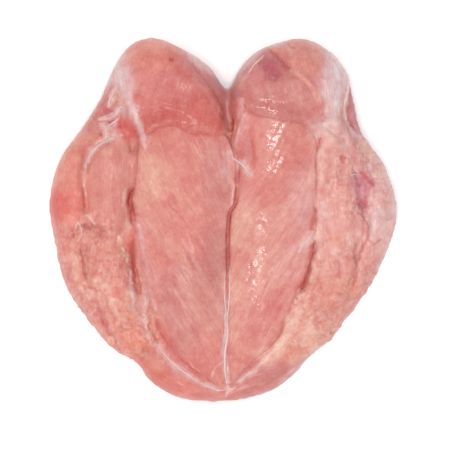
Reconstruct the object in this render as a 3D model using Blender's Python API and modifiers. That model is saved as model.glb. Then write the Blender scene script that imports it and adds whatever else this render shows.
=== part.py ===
"""Raw butterfly chicken breast with both tenderloins, lying inner side up.

Two breast fillets hang together along the keel line, where the breastbone was.
Each carries its tenderloin in a shallow bed beside that line. The piece rests on
its smooth outer side. The shoulder end points to +Y and the tail to -Y.

Shapes are worked out in millimetres from the keel line at x = 0, and written to
the meshes in metres with the piece centred on the origin.
"""

from typing import NamedTuple

import bmesh
import bpy
import numpy as np

MM = 0.001

# Thickness of the meat, from the face it rests on, in mm
BED_FLOOR = 13.0
RIM_UPPER = 9.5
RIM_LOWER = 6.5
UPPER_EDGE_RADIUS = 13.0
LOWER_EDGE_RADIUS = 14.0
KEEL_GROOVE_DEPTH = 3.0
KEEL_GROOVE_HALF_WIDTH = 6.0
LOBE_BLEND = 1.2
LOBE_FULLNESS = 2.7

# Unevenness of the meat, in mm
WANDER = 1.3
WANDER_SIZE = 11.0
CRAG_DEPTH = 1.6
CRAG_SIZE = 7.5
CRAG_REACH = 24.0

# Tenderloins, in mm
TENDER_UNDERSIDE = 7.5
TENDER_HEAD_TOP = 27.5
TENDER_HEAD_Y = 22.0
TENDER_TAIL_TOP = 15.0
TENDER_TAIL_Y = -82.0
TENDER_TAPER = 1.35
TENDER_SIDE_DROP = 3.0
TENDER_RIDGE_X = 19.0
TENDER_HALF_WIDTH = 23.0
TENDER_OUTER_RADIUS = 4.0
TENDER_HEAD_RADIUS = 2.2
TENDER_RADIUS_GROWTH = 0.1
TENDER_WAIST_DROP = 1.4
TENDER_KEEL_RADIUS = 1.3
TENDER_LOWER_RADIUS = 10.0
TENDER_WALL = 0.4
BED_CLEARANCE = 0.35
KEEL_CLEARANCE = 0.35

# How the fillets slope to meet the tenderloins: distance, height over the edge, and
# shares of the slope beside the head and beside the tail
MEET_WIDTH = 5.0
MEET_RISE = 1.1
MEET_HEAD_SHARE = 0.95
MEET_TAIL_SHARE = 0.35

# Mesh fineness: voxels in mm, and triangles for each solid
SLAB_VOXEL = 2.0
SKIN_VOXEL = 1.6
BREAST_TRIANGLES = 7400
TENDER_TRIANGLES = 1500
SPLINE_STEPS = 8
BASE_SNAP = 0.3

# Outline seen from above, in mm from the keel line, clockwise from the shoulder notch
OUTLINE = [
    (-0.5, 65.5), (6, 76), (14, 84), (28.5, 89.7), (38, 90.6), (51, 84), (59, 74),
    (62.5, 60), (66.5, 44), (77.5, 28), (83.2, 12), (84.2, 2), (82.5, -7), (77, -21),
    (69, -36), (57, -52), (51, -60), (41, -68), (34, -76), (24, -84), (8, -89.5),
    (-12, -90.8), (-27, -88), (-40, -79.5), (-45, -72), (-58, -64), (-71.5, -48),
    (-81.5, -32), (-86, -14), (-89.2, 5), (-88, 18), (-83.5, 31), (-73, 46),
    (-63.5, 61), (-57, 76), (-48, 88), (-37, 91), (-21, 84.5), (-9, 76),
]

# Seam between the tenderloins, from the shoulder end to the tail
SEAM = [
    (2.2, 37), (4.8, 27), (4.3, 17), (3.9, 9), (1.0, 3.5), (0.2, -4), (0, -20),
    (-0.5, -40), (-0.5, -60), (0, -78),
]

# Outer sides of the tenderloins, from the seam round the head and down to the tail
LEFT_TENDER_SIDE = [
    (-1, 42), (-8, 43), (-17.5, 43.5), (-25, 47), (-31, 47.8), (-39, 44), (-44.5, 35),
    (-46.5, 22), (-48, 6), (-47.5, -12), (-44, -32), (-37, -49), (-27, -67), (-12, -79.5),
    (-3, -84.5),
]
RIGHT_TENDER_SIDE = [
    (4.2, 46), (7.5, 55.5), (13.5, 53.5), (25.5, 51), (37, 48.5), (44, 41), (44.5, 28),
    (43.8, 11), (43.5, -8), (39.5, -26), (31.5, -45), (24.5, -60), (11, -73.5), (3, -82),
]


class Lobe(NamedTuple):
    """A domed muscle: its middle, half width and half length, turn and top height."""

    x: float
    y: float
    half_width: float
    half_length: float
    turn: float
    top: float


class Groove(NamedTuple):
    """A crease along a path, with its half width and depth."""

    path: list
    half_width: float
    depth: float


LOBES = [
    # left fillet: shoulder cap and its edge at the cleft, flap and bridge beside it
    Lobe(-32, 64, 30, 31, 14, 31.5),
    Lobe(-15, 57, 18, 30, 22, 29.5),
    Lobe(-60, 51, 11, 23, -30, 19),
    Lobe(-49, 46, 10, 15, -20, 24.5),
    # left fillet: rib side as a whole, its outer and inner lobes
    Lobe(-66, -4, 25, 60, 10, 21),
    Lobe(-78, 14, 15, 34, 8, 25.5),
    Lobe(-57, 17, 17, 31, 4, 26.5),
    # left fillet: ragged rib edge and its flap along the tenderloin, tail
    Lobe(-60, -24, 18, 27, 20, 25),
    Lobe(-75, -24, 11, 27, 20, 22.5),
    Lobe(-52, -46, 12, 18, 32, 22),
    Lobe(-46, -60, 10, 9, 0, 21),
    Lobe(-43, -42, 7, 24, 8, 18.5),
    Lobe(-30, -74, 24, 17, -30, 17),
    Lobe(-10, -82, 24, 12, -8, 15.5),
    # right fillet: shoulder cap and its edge at the cleft, flap and bridge beside it
    Lobe(33, 65, 27, 30, -18, 31.5),
    Lobe(15, 65, 17, 26, -30, 30),
    Lobe(61, 54, 9, 23, 16, 16.5),
    Lobe(48, 47, 10, 15, 25, 24),
    # right fillet: rib side as a whole, its inner and outer lobes, oval lump
    Lobe(60, -2, 24, 56, -10, 20),
    Lobe(54, 8, 16, 40, -5, 26.5),
    Lobe(73, 10, 13, 33, -10, 24),
    Lobe(74, -1, 5.5, 10, -8, 26),
    # right fillet: ragged rib edge in three masses, tail
    Lobe(50, -33, 17, 27, -28, 24),
    Lobe(66, -26, 12, 27, -24, 22),
    Lobe(40, -56, 16, 14, -36, 20.5),
    Lobe(24, -72, 23, 15, 34, 17),
    Lobe(8, -82, 20, 12, 8, 15.5),
]

GROOVES = [
    # cleft between the shoulder caps, and the seam between the tenderloins
    Groove([(-0.5, 72), (0.8, 52), (1.6, 38)], 2.8, 6.0),
    Groove(SEAM, 3.0, 5.0),
    # left cap: fold along its edge at the cleft, and sinew band on its other side
    Groove([(-18, 77), (-13, 71), (-5, 61), (-1, 51)], 1.6, 1.2),
    Groove([(-53, 76), (-49, 60), (-46, 53), (-42, 42), (-42, 35)], 2.0, -1.0),
    Groove([(-58, 70), (-53, 58), (-51, 46), (-46, 36)], 2.4, 3.0),
    # left rib side: seam between its lobes, and creases of the ragged edge
    Groove([(-54, 42), (-65, 37), (-70, 30), (-72, 22), (-70, 6)], 2.0, 2.6),
    Groove([(-86, -3), (-76, -6), (-70, -2), (-63, -5)], 2.0, 2.2),
    Groove([(-73, -14), (-70.5, -24), (-69, -31), (-65, -33)], 2.0, 2.4),
    Groove([(-64, -45), (-59.5, -54), (-57, -59)], 2.0, 2.2),
    Groove([(-53, -53), (-45, -51), (-39, -52)], 1.8, 1.6),
    Groove([(-50, -68), (-44, -69), (-39, -65)], 1.8, 2.0),
    # left: pale flap that overhangs the pocket beside the tenderloin
    Groove([(-43, -24), (-41, -36), (-41, -50), (-38, -59)], 1.8, -1.4),
    # right cap: folds, dip beside them, band of fat, edge over the flap below
    Groove([(17.7, 84.5), (24, 81.5), (29.6, 75.7), (32, 72)], 1.9, 2.4),
    Groove([(29, 88.5), (33.5, 84.8)], 1.5, 1.4),
    Groove([(20, 79), (23, 74)], 5.0, 2.4),
    Groove([(31.6, 73.3), (35.5, 70.8), (39.5, 66), (43.5, 62.5)], 2.0, -0.9),
    Groove([(60.5, 72), (59.5, 56), (60, 50), (63, 44), (69, 40)], 1.8, 3.0),
    # right rib side: seam between its lobes, step down to the lower flap of the tail
    Groove([(45, 48), (55, 41), (62, 28), (66, 18), (66, 7)], 2.2, 2.6),
    Groove([(66, 7), (69, 0), (69, -8), (65, -16), (63, -26), (61, -36)], 1.8, 2.4),
    Groove([(56.5, 30), (56.5, 21.5)], 1.6, 1.6),
    Groove([(20, -80.5), (29.5, -75.5), (36, -71), (42, -66)], 1.6, 1.8),
    # pockets where the rib lobes stand off the tenderloins
    Groove([(-48, 13), (-48.2, 8), (-46.5, 0)], 1.8, 5.0),
    Groove([(-46.5, -12), (-45, -34)], 1.8, 3.5),
    Groove([(42.5, 3), (42, -5)], 1.8, 4.0),
    Groove([(41.5, -14), (39, -26), (35.5, -33)], 2.0, 4.5),
]

# Middles of the ragged rib edges, where the meat was pulled off the ribs
CRAGS = [(-68, -16), (-60, -34), (-50, -52), (64, 18), (58, -30), (42, -50)]


def closed_spline(points):
    """Smooth closed loop through points, as a centripetal Catmull-Rom curve."""
    knots = np.array(points, dtype=float)
    loop = []
    for index in range(len(knots)):
        p0, p1, p2, p3 = (knots[(index + step) % len(knots)] for step in (-1, 0, 1, 2))
        t1 = np.sqrt(np.linalg.norm(p1 - p0))
        t2 = t1 + np.sqrt(np.linalg.norm(p2 - p1))
        t3 = t2 + np.sqrt(np.linalg.norm(p3 - p2))
        for t in np.linspace(t1, t2, SPLINE_STEPS, endpoint=False):
            a1 = (t1 - t) / t1 * p0 + t / t1 * p1
            a2 = (t2 - t) / (t2 - t1) * p1 + (t - t1) / (t2 - t1) * p2
            a3 = (t3 - t) / (t3 - t2) * p2 + (t - t2) / (t3 - t2) * p3
            b1 = (t2 - t) / t2 * a1 + t / t2 * a2
            b2 = (t3 - t) / (t3 - t1) * a2 + (t - t1) / (t3 - t1) * a3
            loop.append((t2 - t) / (t2 - t1) * b1 + (t - t1) / (t2 - t1) * b2)
    return np.array(loop)


def tender_loop(side_points, side):
    """Outline of a tenderloin: its outer side, then the seam with a clear gap."""
    seam = [(x + side * KEEL_CLEARANCE, y) for x, y in reversed(SEAM)]
    return closed_spline(side_points + seam)


def distance_to_path(x, y, path, closed=False):
    """Distance in mm from each point to a path of straight runs."""
    points = np.array(path, dtype=float)
    ends = np.roll(points, -1, axis=0) if closed else points[1:]
    nearest = np.full(len(x), np.inf)
    for start, end in zip(points, ends):
        run = end - start
        along = ((x - start[0]) * run[0] + (y - start[1]) * run[1]) / run.dot(run)
        along = np.clip(along, 0, 1)
        gap = np.hypot(x - start[0] - along * run[0], y - start[1] - along * run[1])
        nearest = np.minimum(nearest, gap)
    return nearest


def inside_loop(x, y, loop):
    """Whether each point lies inside a closed loop, by counting crossings."""
    crossings = np.zeros(len(x), dtype=bool)
    for start, end in zip(loop, np.roll(loop, -1, axis=0)):
        if start[1] == end[1]:
            continue
        spans = (start[1] > y) != (end[1] > y)
        edge_x = start[0] + (y - start[1]) * (end[0] - start[0]) / (end[1] - start[1])
        crossings ^= spans & (x < edge_x)
    return crossings


def round_over(distance, radius):
    """Quarter-round from 0 at the edge to 1 at the radius inside it."""
    inward = np.clip(distance / radius, 0, 1)
    return np.sqrt(1 - (1 - inward) ** 2)


def uneven(x, y, size, seed):
    """Smooth value noise from -1 to 1, with bumps of about the given size in mm."""
    column, row = np.floor(x / size), np.floor(y / size)
    across, along = x / size - column, y / size - row
    across = across * across * (3 - 2 * across)
    along = along * along * (3 - 2 * along)

    def corner(step_x, step_y):
        phase = (column + step_x) * 127.1 + (row + step_y) * 311.7 + seed * 74.7
        wave = np.sin(phase) * 43758.5453
        return 2 * (wave - np.floor(wave)) - 1

    near = corner(0, 0) * (1 - across) + corner(1, 0) * across
    far = corner(0, 1) * (1 - across) + corner(1, 1) * across
    return near * (1 - along) + far * along


def lobe_height(x, y, lobe):
    """Height of one domed muscle above the bed floor, 0 outside it."""
    angle = np.radians(lobe.turn)
    across = (x - lobe.x) * np.cos(angle) + (y - lobe.y) * np.sin(angle)
    along = (y - lobe.y) * np.cos(angle) - (x - lobe.x) * np.sin(angle)
    reach = np.hypot(across / lobe.half_width, along / lobe.half_length)
    dome = np.clip(1 - reach ** LOBE_FULLNESS, 0, 1) ** 0.5
    return (lobe.top - BED_FLOOR) * dome


def crag_relief(x, y):
    """Uneven relief of the ragged rib edges, in mm, fading out away from them."""
    weight = np.zeros(len(x))
    for middle_x, middle_y in CRAGS:
        away = np.hypot(x - middle_x, y - middle_y) / CRAG_REACH
        weight = np.maximum(weight, np.clip(1 - away ** 2, 0, 1))
    bumps = uneven(x, y, CRAG_SIZE, 3) + 0.5 * uneven(x, y, CRAG_SIZE / 2, 4)
    return CRAG_DEPTH * weight * bumps


def toward_tail(y):
    """Share of the way from a tenderloin's head to its tail, from 0 to 1."""
    return np.clip((TENDER_HEAD_Y - y) / (TENDER_HEAD_Y - TENDER_TAIL_Y), 0, 1)


def meet_tenders(x, y, height):
    """Slope the inner side of the fillets to the edges of the tenderloins."""
    share = MEET_HEAD_SHARE + (MEET_TAIL_SHARE - MEET_HEAD_SHARE) * toward_tail(y)
    level = tender_waist(x, y) + MEET_RISE
    for side_points, side in ((LEFT_TENDER_SIDE, -1), (RIGHT_TENDER_SIDE, 1)):
        away = distance_to_path(x, y, side_points)
        inside = inside_loop(x, y, tender_loop(side_points, side))
        away = np.where(inside, np.clip(away - MEET_WIDTH, 0, None), away)
        height = height + share * np.exp(-((away / MEET_WIDTH) ** 2)) * (level - height)
    return height


def breast_upper(x, y, loop):
    """Height of the inner side of the two fillets, in mm."""
    shifted_x = x + WANDER * uneven(x, y, WANDER_SIZE, 1)
    shifted_y = y + WANDER * uneven(x, y, WANDER_SIZE, 2)
    domes = [lobe_height(shifted_x, shifted_y, lobe) for lobe in LOBES]
    swell = sum(np.exp(dome / LOBE_BLEND) - 1 for dome in domes)
    height = BED_FLOOR + LOBE_BLEND * np.log(1 + swell) + crag_relief(x, y)
    height = meet_tenders(x, y, height)
    for groove in GROOVES:
        away = distance_to_path(shifted_x, shifted_y, groove.path)
        height = height - groove.depth * np.exp(-((away / groove.half_width) ** 2))
    edge = distance_to_path(x, y, loop, closed=True)
    return RIM_UPPER + (height - RIM_UPPER) * round_over(edge, UPPER_EDGE_RADIUS)


def breast_lower(x, y, loop):
    """Height of the smooth outer side that the piece rests on, in mm."""
    edge = distance_to_path(x, y, loop, closed=True)
    keel = KEEL_GROOVE_DEPTH * np.exp(-((x / KEEL_GROOVE_HALF_WIDTH) ** 2))
    return keel + (RIM_LOWER - keel) * (1 - round_over(edge, LOWER_EDGE_RADIUS))


def tender_crest(x, y):
    """Height of a tenderloin's top away from its edges, in mm."""
    drop = (TENDER_TAIL_TOP - TENDER_HEAD_TOP) * toward_tail(y) ** TENDER_TAPER
    outward = (np.abs(x) - TENDER_RIDGE_X) / TENDER_HALF_WIDTH
    return TENDER_HEAD_TOP + drop - TENDER_SIDE_DROP * outward ** 2


def tender_waist(x, y):
    """Height at which a tenderloin is widest, in mm."""
    return tender_crest(x, y) - TENDER_WAIST_DROP


def tender_upper(x, y, loop):
    """Height of a tenderloin's upper side, tightly rounded beside the keel line."""
    waist = tender_waist(x, y)
    outward = np.clip(np.abs(x) / TENDER_HALF_WIDTH, 0, 1)
    radius = TENDER_KEEL_RADIUS + (TENDER_OUTER_RADIUS - TENDER_KEEL_RADIUS) * outward
    below_head = np.clip(TENDER_HEAD_Y - y, 0, None)
    radius = np.minimum(radius, TENDER_HEAD_RADIUS + TENDER_RADIUS_GROWTH * below_head)
    edge = distance_to_path(x, y, loop, closed=True)
    return waist + (tender_crest(x, y) - waist) * round_over(edge, radius)


def tender_lower(x, y, loop):
    """Height of a tenderloin's underside, which lies in its bed."""
    waist = tender_waist(x, y) - TENDER_WALL
    edge = distance_to_path(x, y, loop, closed=True)
    return waist + (TENDER_UNDERSIDE - waist) * round_over(edge, TENDER_LOWER_RADIUS)


def clear_scene():
    """Remove whatever objects the open file holds."""
    for item in list(bpy.data.objects):
        bpy.data.objects.remove(item, do_unlink=True)


def named_collection(name):
    """New collection under the scene."""
    group = bpy.data.collections.new(name)
    bpy.context.scene.collection.children.link(group)
    return group


def meat_material(name, colour, roughness):
    """Principled material of one kind of raw meat."""
    material = bpy.data.materials.new(name)
    material.use_nodes = True
    shader = material.node_tree.nodes["Principled BSDF"]
    shader.inputs["Base Color"].default_value = (*colour, 1.0)
    shader.inputs["Roughness"].default_value = roughness
    shader.inputs["Metallic"].default_value = 0.0
    return material


def freeze(piece):
    """Turn an object's evaluated shape into its plain mesh, with no modifiers."""
    bpy.context.view_layer.update()
    graph = bpy.context.evaluated_depsgraph_get()
    mesh = bpy.data.meshes.new_from_object(piece.evaluated_get(graph))
    piece.modifiers.clear()
    piece.data = mesh


def slab(name, loop, thickness, group):
    """Flat slab with the plan of a loop, made from a filled 2D curve."""
    curve = bpy.data.curves.new(name + "_plan", "CURVE")
    curve.dimensions = "2D"
    curve.fill_mode = "BOTH"
    curve.extrude = thickness * MM / 2
    spline = curve.splines.new("POLY")
    spline.points.add(len(loop) - 1)
    for point, (x, y) in zip(spline.points, loop):
        point.co = (x * MM, y * MM, 0.0, 1.0)
    spline.use_cyclic_u = True
    plan = bpy.data.objects.new(name + "_plan", curve)
    group.objects.link(plan)
    bpy.context.view_layer.update()
    graph = bpy.context.evaluated_depsgraph_get()
    mesh = bpy.data.meshes.new_from_object(plan.evaluated_get(graph))
    bpy.data.objects.remove(plan, do_unlink=True)
    sheet = bmesh.new()
    sheet.from_mesh(mesh)
    bmesh.ops.remove_doubles(sheet, verts=sheet.verts, dist=0.01 * MM)
    sheet.to_mesh(mesh)
    sheet.free()
    piece = bpy.data.objects.new(name, mesh)
    group.objects.link(piece)
    return piece


def remesh(piece, voxel):
    """Even out the faces with a voxel remesh."""
    modifier = piece.modifiers.new("even faces", "REMESH")
    modifier.mode = "VOXEL"
    modifier.voxel_size = voxel * MM
    freeze(piece)


def reduce(piece, triangles):
    """Triangulate, then collapse the flatter faces down to a triangle count."""
    piece.modifiers.new("triangles", "TRIANGULATE")
    freeze(piece)
    modifier = piece.modifiers.new("fewer faces", "DECIMATE")
    modifier.ratio = triangles / len(piece.data.polygons)
    freeze(piece)


def vertex_places(mesh):
    """Vertex coordinates in mm, one row each."""
    places = np.empty(len(mesh.vertices) * 3, dtype=np.float32)
    mesh.vertices.foreach_get("co", places)
    return places.reshape(-1, 3).astype(float) / MM


def move_vertices(mesh, places):
    """Write vertex coordinates given in mm."""
    mesh.vertices.foreach_set("co", (places * MM).astype(np.float32).ravel())
    mesh.update()


def fit_plan(piece, loop):
    """Stretch a solid's plan to the exact size of its outline."""
    places = vertex_places(piece.data)
    for axis in (0, 1):
        row = places[:, axis]
        span = loop[:, axis].max() - loop[:, axis].min()
        places[:, axis] = loop[:, axis].min() + (row - row.min()) * span / np.ptp(row)
    move_vertices(piece.data, places)


def meat_solid(name, loop, lower, upper, triangles, material, group):
    """Solid between a lower and an upper surface, inside a smooth outline."""
    thickness = 2 * SLAB_VOXEL
    piece = slab(name, loop, thickness, group)
    remesh(piece, SLAB_VOXEL)
    places = vertex_places(piece.data)
    x, y, z = places.T
    share = np.clip(z / thickness + 0.5, 0, 1)
    floor = lower(x, y, loop)
    places[:, 2] = floor + share * (upper(x, y, loop) - floor)
    move_vertices(piece.data, places)
    remesh(piece, SKIN_VOXEL)
    reduce(piece, triangles)
    fit_plan(piece, loop)
    piece.data.materials.clear()
    piece.data.materials.append(material)
    piece.data.shade_smooth()
    return piece


def flatten_base(piece):
    """Lay the vertices just above the table exactly on it."""
    places = vertex_places(piece.data)
    places[:, 2] -= places[:, 2].min()
    places[places[:, 2] < BASE_SNAP, 2] = 0.0
    move_vertices(piece.data, places)


def grown_copy(piece, growth, group):
    """Copy of a solid, pushed outwards, that cuts the bed the solid lies in."""
    cutter = bpy.data.objects.new(piece.name + "_bed", piece.data.copy())
    group.objects.link(cutter)
    modifier = cutter.modifiers.new("clearance", "DISPLACE")
    modifier.strength = growth * MM
    modifier.mid_level = 0.0
    freeze(cutter)
    cutter.display_type = "WIRE"
    cutter.hide_render = True
    return cutter


def cut(piece, cutter):
    """Take a cutter's volume out of a solid."""
    modifier = piece.modifiers.new("bed", "BOOLEAN")
    modifier.operation = "DIFFERENCE"
    modifier.solver = "EXACT"
    modifier.object = cutter
    freeze(piece)


def build():
    """Make the fillets and both tenderloins, centred on the origin."""
    clear_scene()
    group = named_collection("butterfly chicken breast")
    beds = named_collection("cutters")
    breast_meat = meat_material("breast meat", (0.78, 0.33, 0.27), 0.42)
    tender_meat = meat_material("tender meat", (0.76, 0.31, 0.26), 0.34)

    outline = closed_spline(OUTLINE)
    breast = meat_solid(
        "breast", outline, breast_lower, breast_upper, BREAST_TRIANGLES, breast_meat, group
    )
    flatten_base(breast)
    tenders = []
    for name, side_points, side in (
        ("tender_left", LEFT_TENDER_SIDE, -1),
        ("tender_right", RIGHT_TENDER_SIDE, 1),
    ):
        loop = tender_loop(side_points, side)
        tender = meat_solid(
            name, loop, tender_lower, tender_upper, TENDER_TRIANGLES, tender_meat, group
        )
        cut(breast, grown_copy(tender, BED_CLEARANCE, beds))
        tenders.append(tender)

    middle = (outline.min(axis=0) + outline.max(axis=0)) / 2
    for piece in [breast, *tenders, *beds.objects]:
        places = vertex_places(piece.data)
        places[:, :2] -= middle
        move_vertices(piece.data, places)


build()
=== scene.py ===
"""Looks of a raw butterfly chicken breast with both tenderloins, inner side up.

The main forms are those of the CAD part, worked out again on finer meshes and
joined by the folds, fibres, sinew, fat and colours of raw meat. Lengths are in
millimetres from the keel line until a mesh is written, which puts them in metres
in the part's own frame. Angles are in degrees, anticlockwise: those of fibres from
the x axis, and the turns of ovals from upright.
"""

import logging
from dataclasses import dataclass, field
from enum import Enum, IntEnum
from itertools import product
from typing import Any, Callable

import bmesh
import bpy
import numpy as np
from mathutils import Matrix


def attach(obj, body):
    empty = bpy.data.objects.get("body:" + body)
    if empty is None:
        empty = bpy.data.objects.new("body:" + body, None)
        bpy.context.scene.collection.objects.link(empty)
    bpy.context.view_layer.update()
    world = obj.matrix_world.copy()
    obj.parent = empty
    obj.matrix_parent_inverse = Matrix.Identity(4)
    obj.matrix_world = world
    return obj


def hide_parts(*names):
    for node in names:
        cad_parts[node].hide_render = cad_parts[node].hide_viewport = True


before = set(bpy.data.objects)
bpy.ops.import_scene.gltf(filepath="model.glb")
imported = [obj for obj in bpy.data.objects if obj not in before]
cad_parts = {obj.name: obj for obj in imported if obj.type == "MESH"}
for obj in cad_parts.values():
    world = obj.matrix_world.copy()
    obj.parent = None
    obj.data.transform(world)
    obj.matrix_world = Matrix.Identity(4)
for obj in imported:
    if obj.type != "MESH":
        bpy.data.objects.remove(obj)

LOG = logging.getLogger("chicken_breast")

Array = np.ndarray
Path = tuple[tuple[float, float], ...]
Surface = Callable[[Array, Array], Array]

MM = 0.001

# Form of the meat, the same as in the CAD part, with lengths in mm
BED_FLOOR = 13.0
RIM_UPPER = 9.5
RIM_LOWER = 6.5
UPPER_EDGE_RADIUS = 13.0
LOWER_EDGE_RADIUS = 14.0
KEEL_GROOVE_DEPTH = 3.0
KEEL_GROOVE_HALF_WIDTH = 6.0
LOBE_BLEND = 1.2
LOBE_FULLNESS = 2.7
WANDER = 1.3
WANDER_SIZE = 11.0
CRAG_DEPTH = 1.6
CRAG_SIZE = 7.5
FINE_CRAG_SHARE = 0.5
CRAG_REACH = 24.0
TENDER_UNDERSIDE = 7.5
TENDER_HEAD_TOP = 27.5
TENDER_HEAD_Y = 22.0
TENDER_TAIL_TOP = 15.0
TENDER_TAIL_Y = -82.0
TENDER_TAPER = 1.35
TENDER_SIDE_DROP = 3.0
TENDER_RIDGE_X = 19.0
TENDER_HALF_WIDTH = 23.0
TENDER_OUTER_RADIUS = 4.0
TENDER_HEAD_RADIUS = 2.2
TENDER_RADIUS_GROWTH = 0.1
TENDER_WAIST_DROP = 1.4
TENDER_KEEL_RADIUS = 1.3
TENDER_LOWER_RADIUS = 10.0
TENDER_WALL = 0.4
BED_CLEARANCE = 0.35
BED_LAP = 2.2
BED_LAP_DIP = 0.1
KEEL_CLEARANCE = 0.35
MEET_WIDTH = 5.0
MEET_RISE = 1.1
MEET_HEAD_SHARE = 0.95
MEET_TAIL_SHARE = 0.35

# Where this mesh leaves the CAD part, so that no gap turns black: a wide web fills the seam,
# its rise over the tenderloins' widest level given by y, and the pockets are shallow
SEAM_WEB = 1.9
SEAM_FOOT = (0.0, -82.0)
SEAM_RISE = ((-30.0, 1.2), (-22.0, 0.1), (14.0, 0.2), (22.0, 0.9), (32.0, 0.8), (36.0, -0.8))
POCKET_REACH = 2.2
POCKET_DEPTH = 1.3

# Mesh fineness: voxels in mm, and how far the hidden faces are thinned out
SLAB_VOXEL = 0.9
SKIN_VOXEL = 0.67
BREAST_TRIANGLES = 150000
TENDER_TRIANGLES = 60000
SPLINE_STEPS = 8
WELD = 0.01
HIDDEN_TILT = -0.15
BED_SHOWN = 4.0

# How steeply paint fades on slopes: factor and offset of a normal's upright share
TENDER_FADE = (4.0, 0.6)
BREAST_FADE = (4.0, 1.0)
RIM_FADE = 3.0

# Broad areas of tone: how fast they give way, how far their borders stray and in what bumps
PATCH_FALLOFF = 1.6
PATCH_FAR_SHARE = 1e-9
BORDER_WANDER = 3.0
BORDER_WANDER_SIZE = 9.0

# How the colours of two pieces run into each other where they meet, in mm
MELT_WIDTH = 4.5
MELT_SHARE = 0.8
MELT_SEAM = 6.0

# Strokes of tissue and of painted shade and highlight: width at their tips, how fast they reach full
# width, their ragged edge
STROKE_REACH = 3.0
STROKE_MARGIN = 2.0
TIP_WIDTH = 0.55
TIP_STEEPNESS = 6.0
RAG_SIZE = 1.4
RAG_LEAST_SIZE = 0.6
FINE_RAG = 0.6
FINE_RAG_SIZE = 0.8
STROKE_SEEDS = 5

# How much of a stroke its streaks leave out, with their width and how much longer they are
STREAK = 0.45
STREAK_WIDTH = 0.9
STREAK_STRETCH = 5.0

# Soft blotches of the paint: their size in mm and how much they change it
MOTTLES = ((12.0, 0.12), (5.0, 0.08), (2.2, 0.07))

# Cream and red bands that follow the fibres, and where they are strong
WIDE_BAND_SHARE = 0.7
THIN_BAND_SHARE = 0.5
CREAM_BAND = 0.65
RED_BAND = 0.50
BAND_PATCH_SIZE = 14.0
BAND_PATCH_LEAST = 0.6

# Bundles of fibres: share of the finer ones, their relief in mm and their tone
FINE_BUNDLE_SHARE = 0.6
BUNDLE_RELIEF = 0.08
BUNDLE_TONE = 0.07

# Wetness of plain meat, and the wrinkles of what is wetter, in mm
PLAIN_WETNESS = 0.25
CRINKLE_WETNESS = 0.4
CRINKLE_SIZE = 1.0
CRINKLE_RELIEF = 0.22

# Painted red shade where two pieces meet, and the pale thin rim
EDGE_SHADE = 0.12
EDGE_SHADE_WIDTH = 1.0
RIM_PALE = 0.30
RIM_PALE_WIDTH = 2.5

# Torn lumps of the ragged rib edges, with sizes in mm and shares of their spacing
RAGGED_SHARE = 1.5
TEAR_STRAY = 1.1
TEAR_STRAY_SIZE = 3.0
LUMP_SIZE = 4.6
LUMP_STRETCH = 1.5
LUMP_HEIGHT = 0.75
LUMP_CREASE = 0.16
SMALL_LUMP_SIZE = 2.1
SMALL_LUMP_STRETCH = 1.3
SMALL_LUMP_HEIGHT = 0.4
SMALL_LUMP_CREASE = 0.2
SMALL_CREASE_SHARE = 0.8
GRIT_SIZE = 1.3
GRIT_HEIGHT = 0.38
CREASE_TONE_SIZE = 8.0
# Painted highlight on the lumps' tops, and painted orange and dark red shade in their creases
LUMP_HIGHLIGHT_SHARE = 0.7
LUMP_HIGHLIGHT_GAIN = 1.8
ORANGE_CREASE_SHADE = 0.55
RED_CREASE_SHADE = 0.45

# How much of a change in tone each colour channel takes: meat darkens by turning redder
HUE_SWING = (0.35, 1.0, 0.95)

# How strongly the studio lights a white face, and what its gloss adds to a colour
LIGHT_LEVEL = 1.53
GLOSS_LEVEL = 0.014
LEAST_ALBEDO = 0.005

# Shading noise keeps mostly between these values
NOISE_LOW = 0.3
NOISE_HIGH = 0.7

# Steps and turn of the random draws: by column, row and seed, then shift and swing of each
HASH_ACROSS = 127.1
HASH_ALONG = 311.7
HASH_SEED = 74.7
HASH_DRAWS = ((0.0, 43758.5453), (2.1, 24634.6345))

OUTLINE: Path = (
    (-0.5, 65.5), (6, 76), (14, 84), (28.5, 89.7), (38, 90.6), (51, 84), (59, 74),
    (62.5, 60), (66.5, 44), (77.5, 28), (83.2, 12), (84.2, 2), (82.5, -7), (77, -21),
    (69, -36), (57, -52), (51, -60), (41, -68), (34, -76), (24, -84), (8, -89.5),
    (-12, -90.8), (-27, -88), (-40, -79.5), (-45, -72), (-58, -64), (-71.5, -48),
    (-81.5, -32), (-86, -14), (-89.2, 5), (-88, 18), (-83.5, 31), (-73, 46),
    (-63.5, 61), (-57, 76), (-48, 88), (-37, 91), (-21, 84.5), (-9, 76),
)
SEAM: Path = (
    (2.2, 37), (4.8, 27), (4.3, 17), (3.9, 9), (1.0, 3.5), (0.2, -4), (0, -20),
    (-0.5, -40), (-0.5, -60), (0, -78),
)
LEFT_TENDER_SIDE: Path = (
    (-1, 42), (-8, 43), (-17.5, 43.5), (-25, 47), (-31, 47.8), (-39, 44), (-44.5, 35),
    (-46.5, 22), (-48, 6), (-47.5, -12), (-44, -32), (-37, -49), (-27, -67), (-12, -79.5),
    (-3, -84.5),
)
RIGHT_TENDER_SIDE: Path = (
    (4.2, 46), (7.5, 55.5), (13.5, 53.5), (25.5, 51), (37, 48.5), (44, 41), (44.5, 28),
    (43.8, 11), (43.5, -8), (39.5, -26), (31.5, -45), (24.5, -60), (11, -73.5), (3, -82),
)


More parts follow.
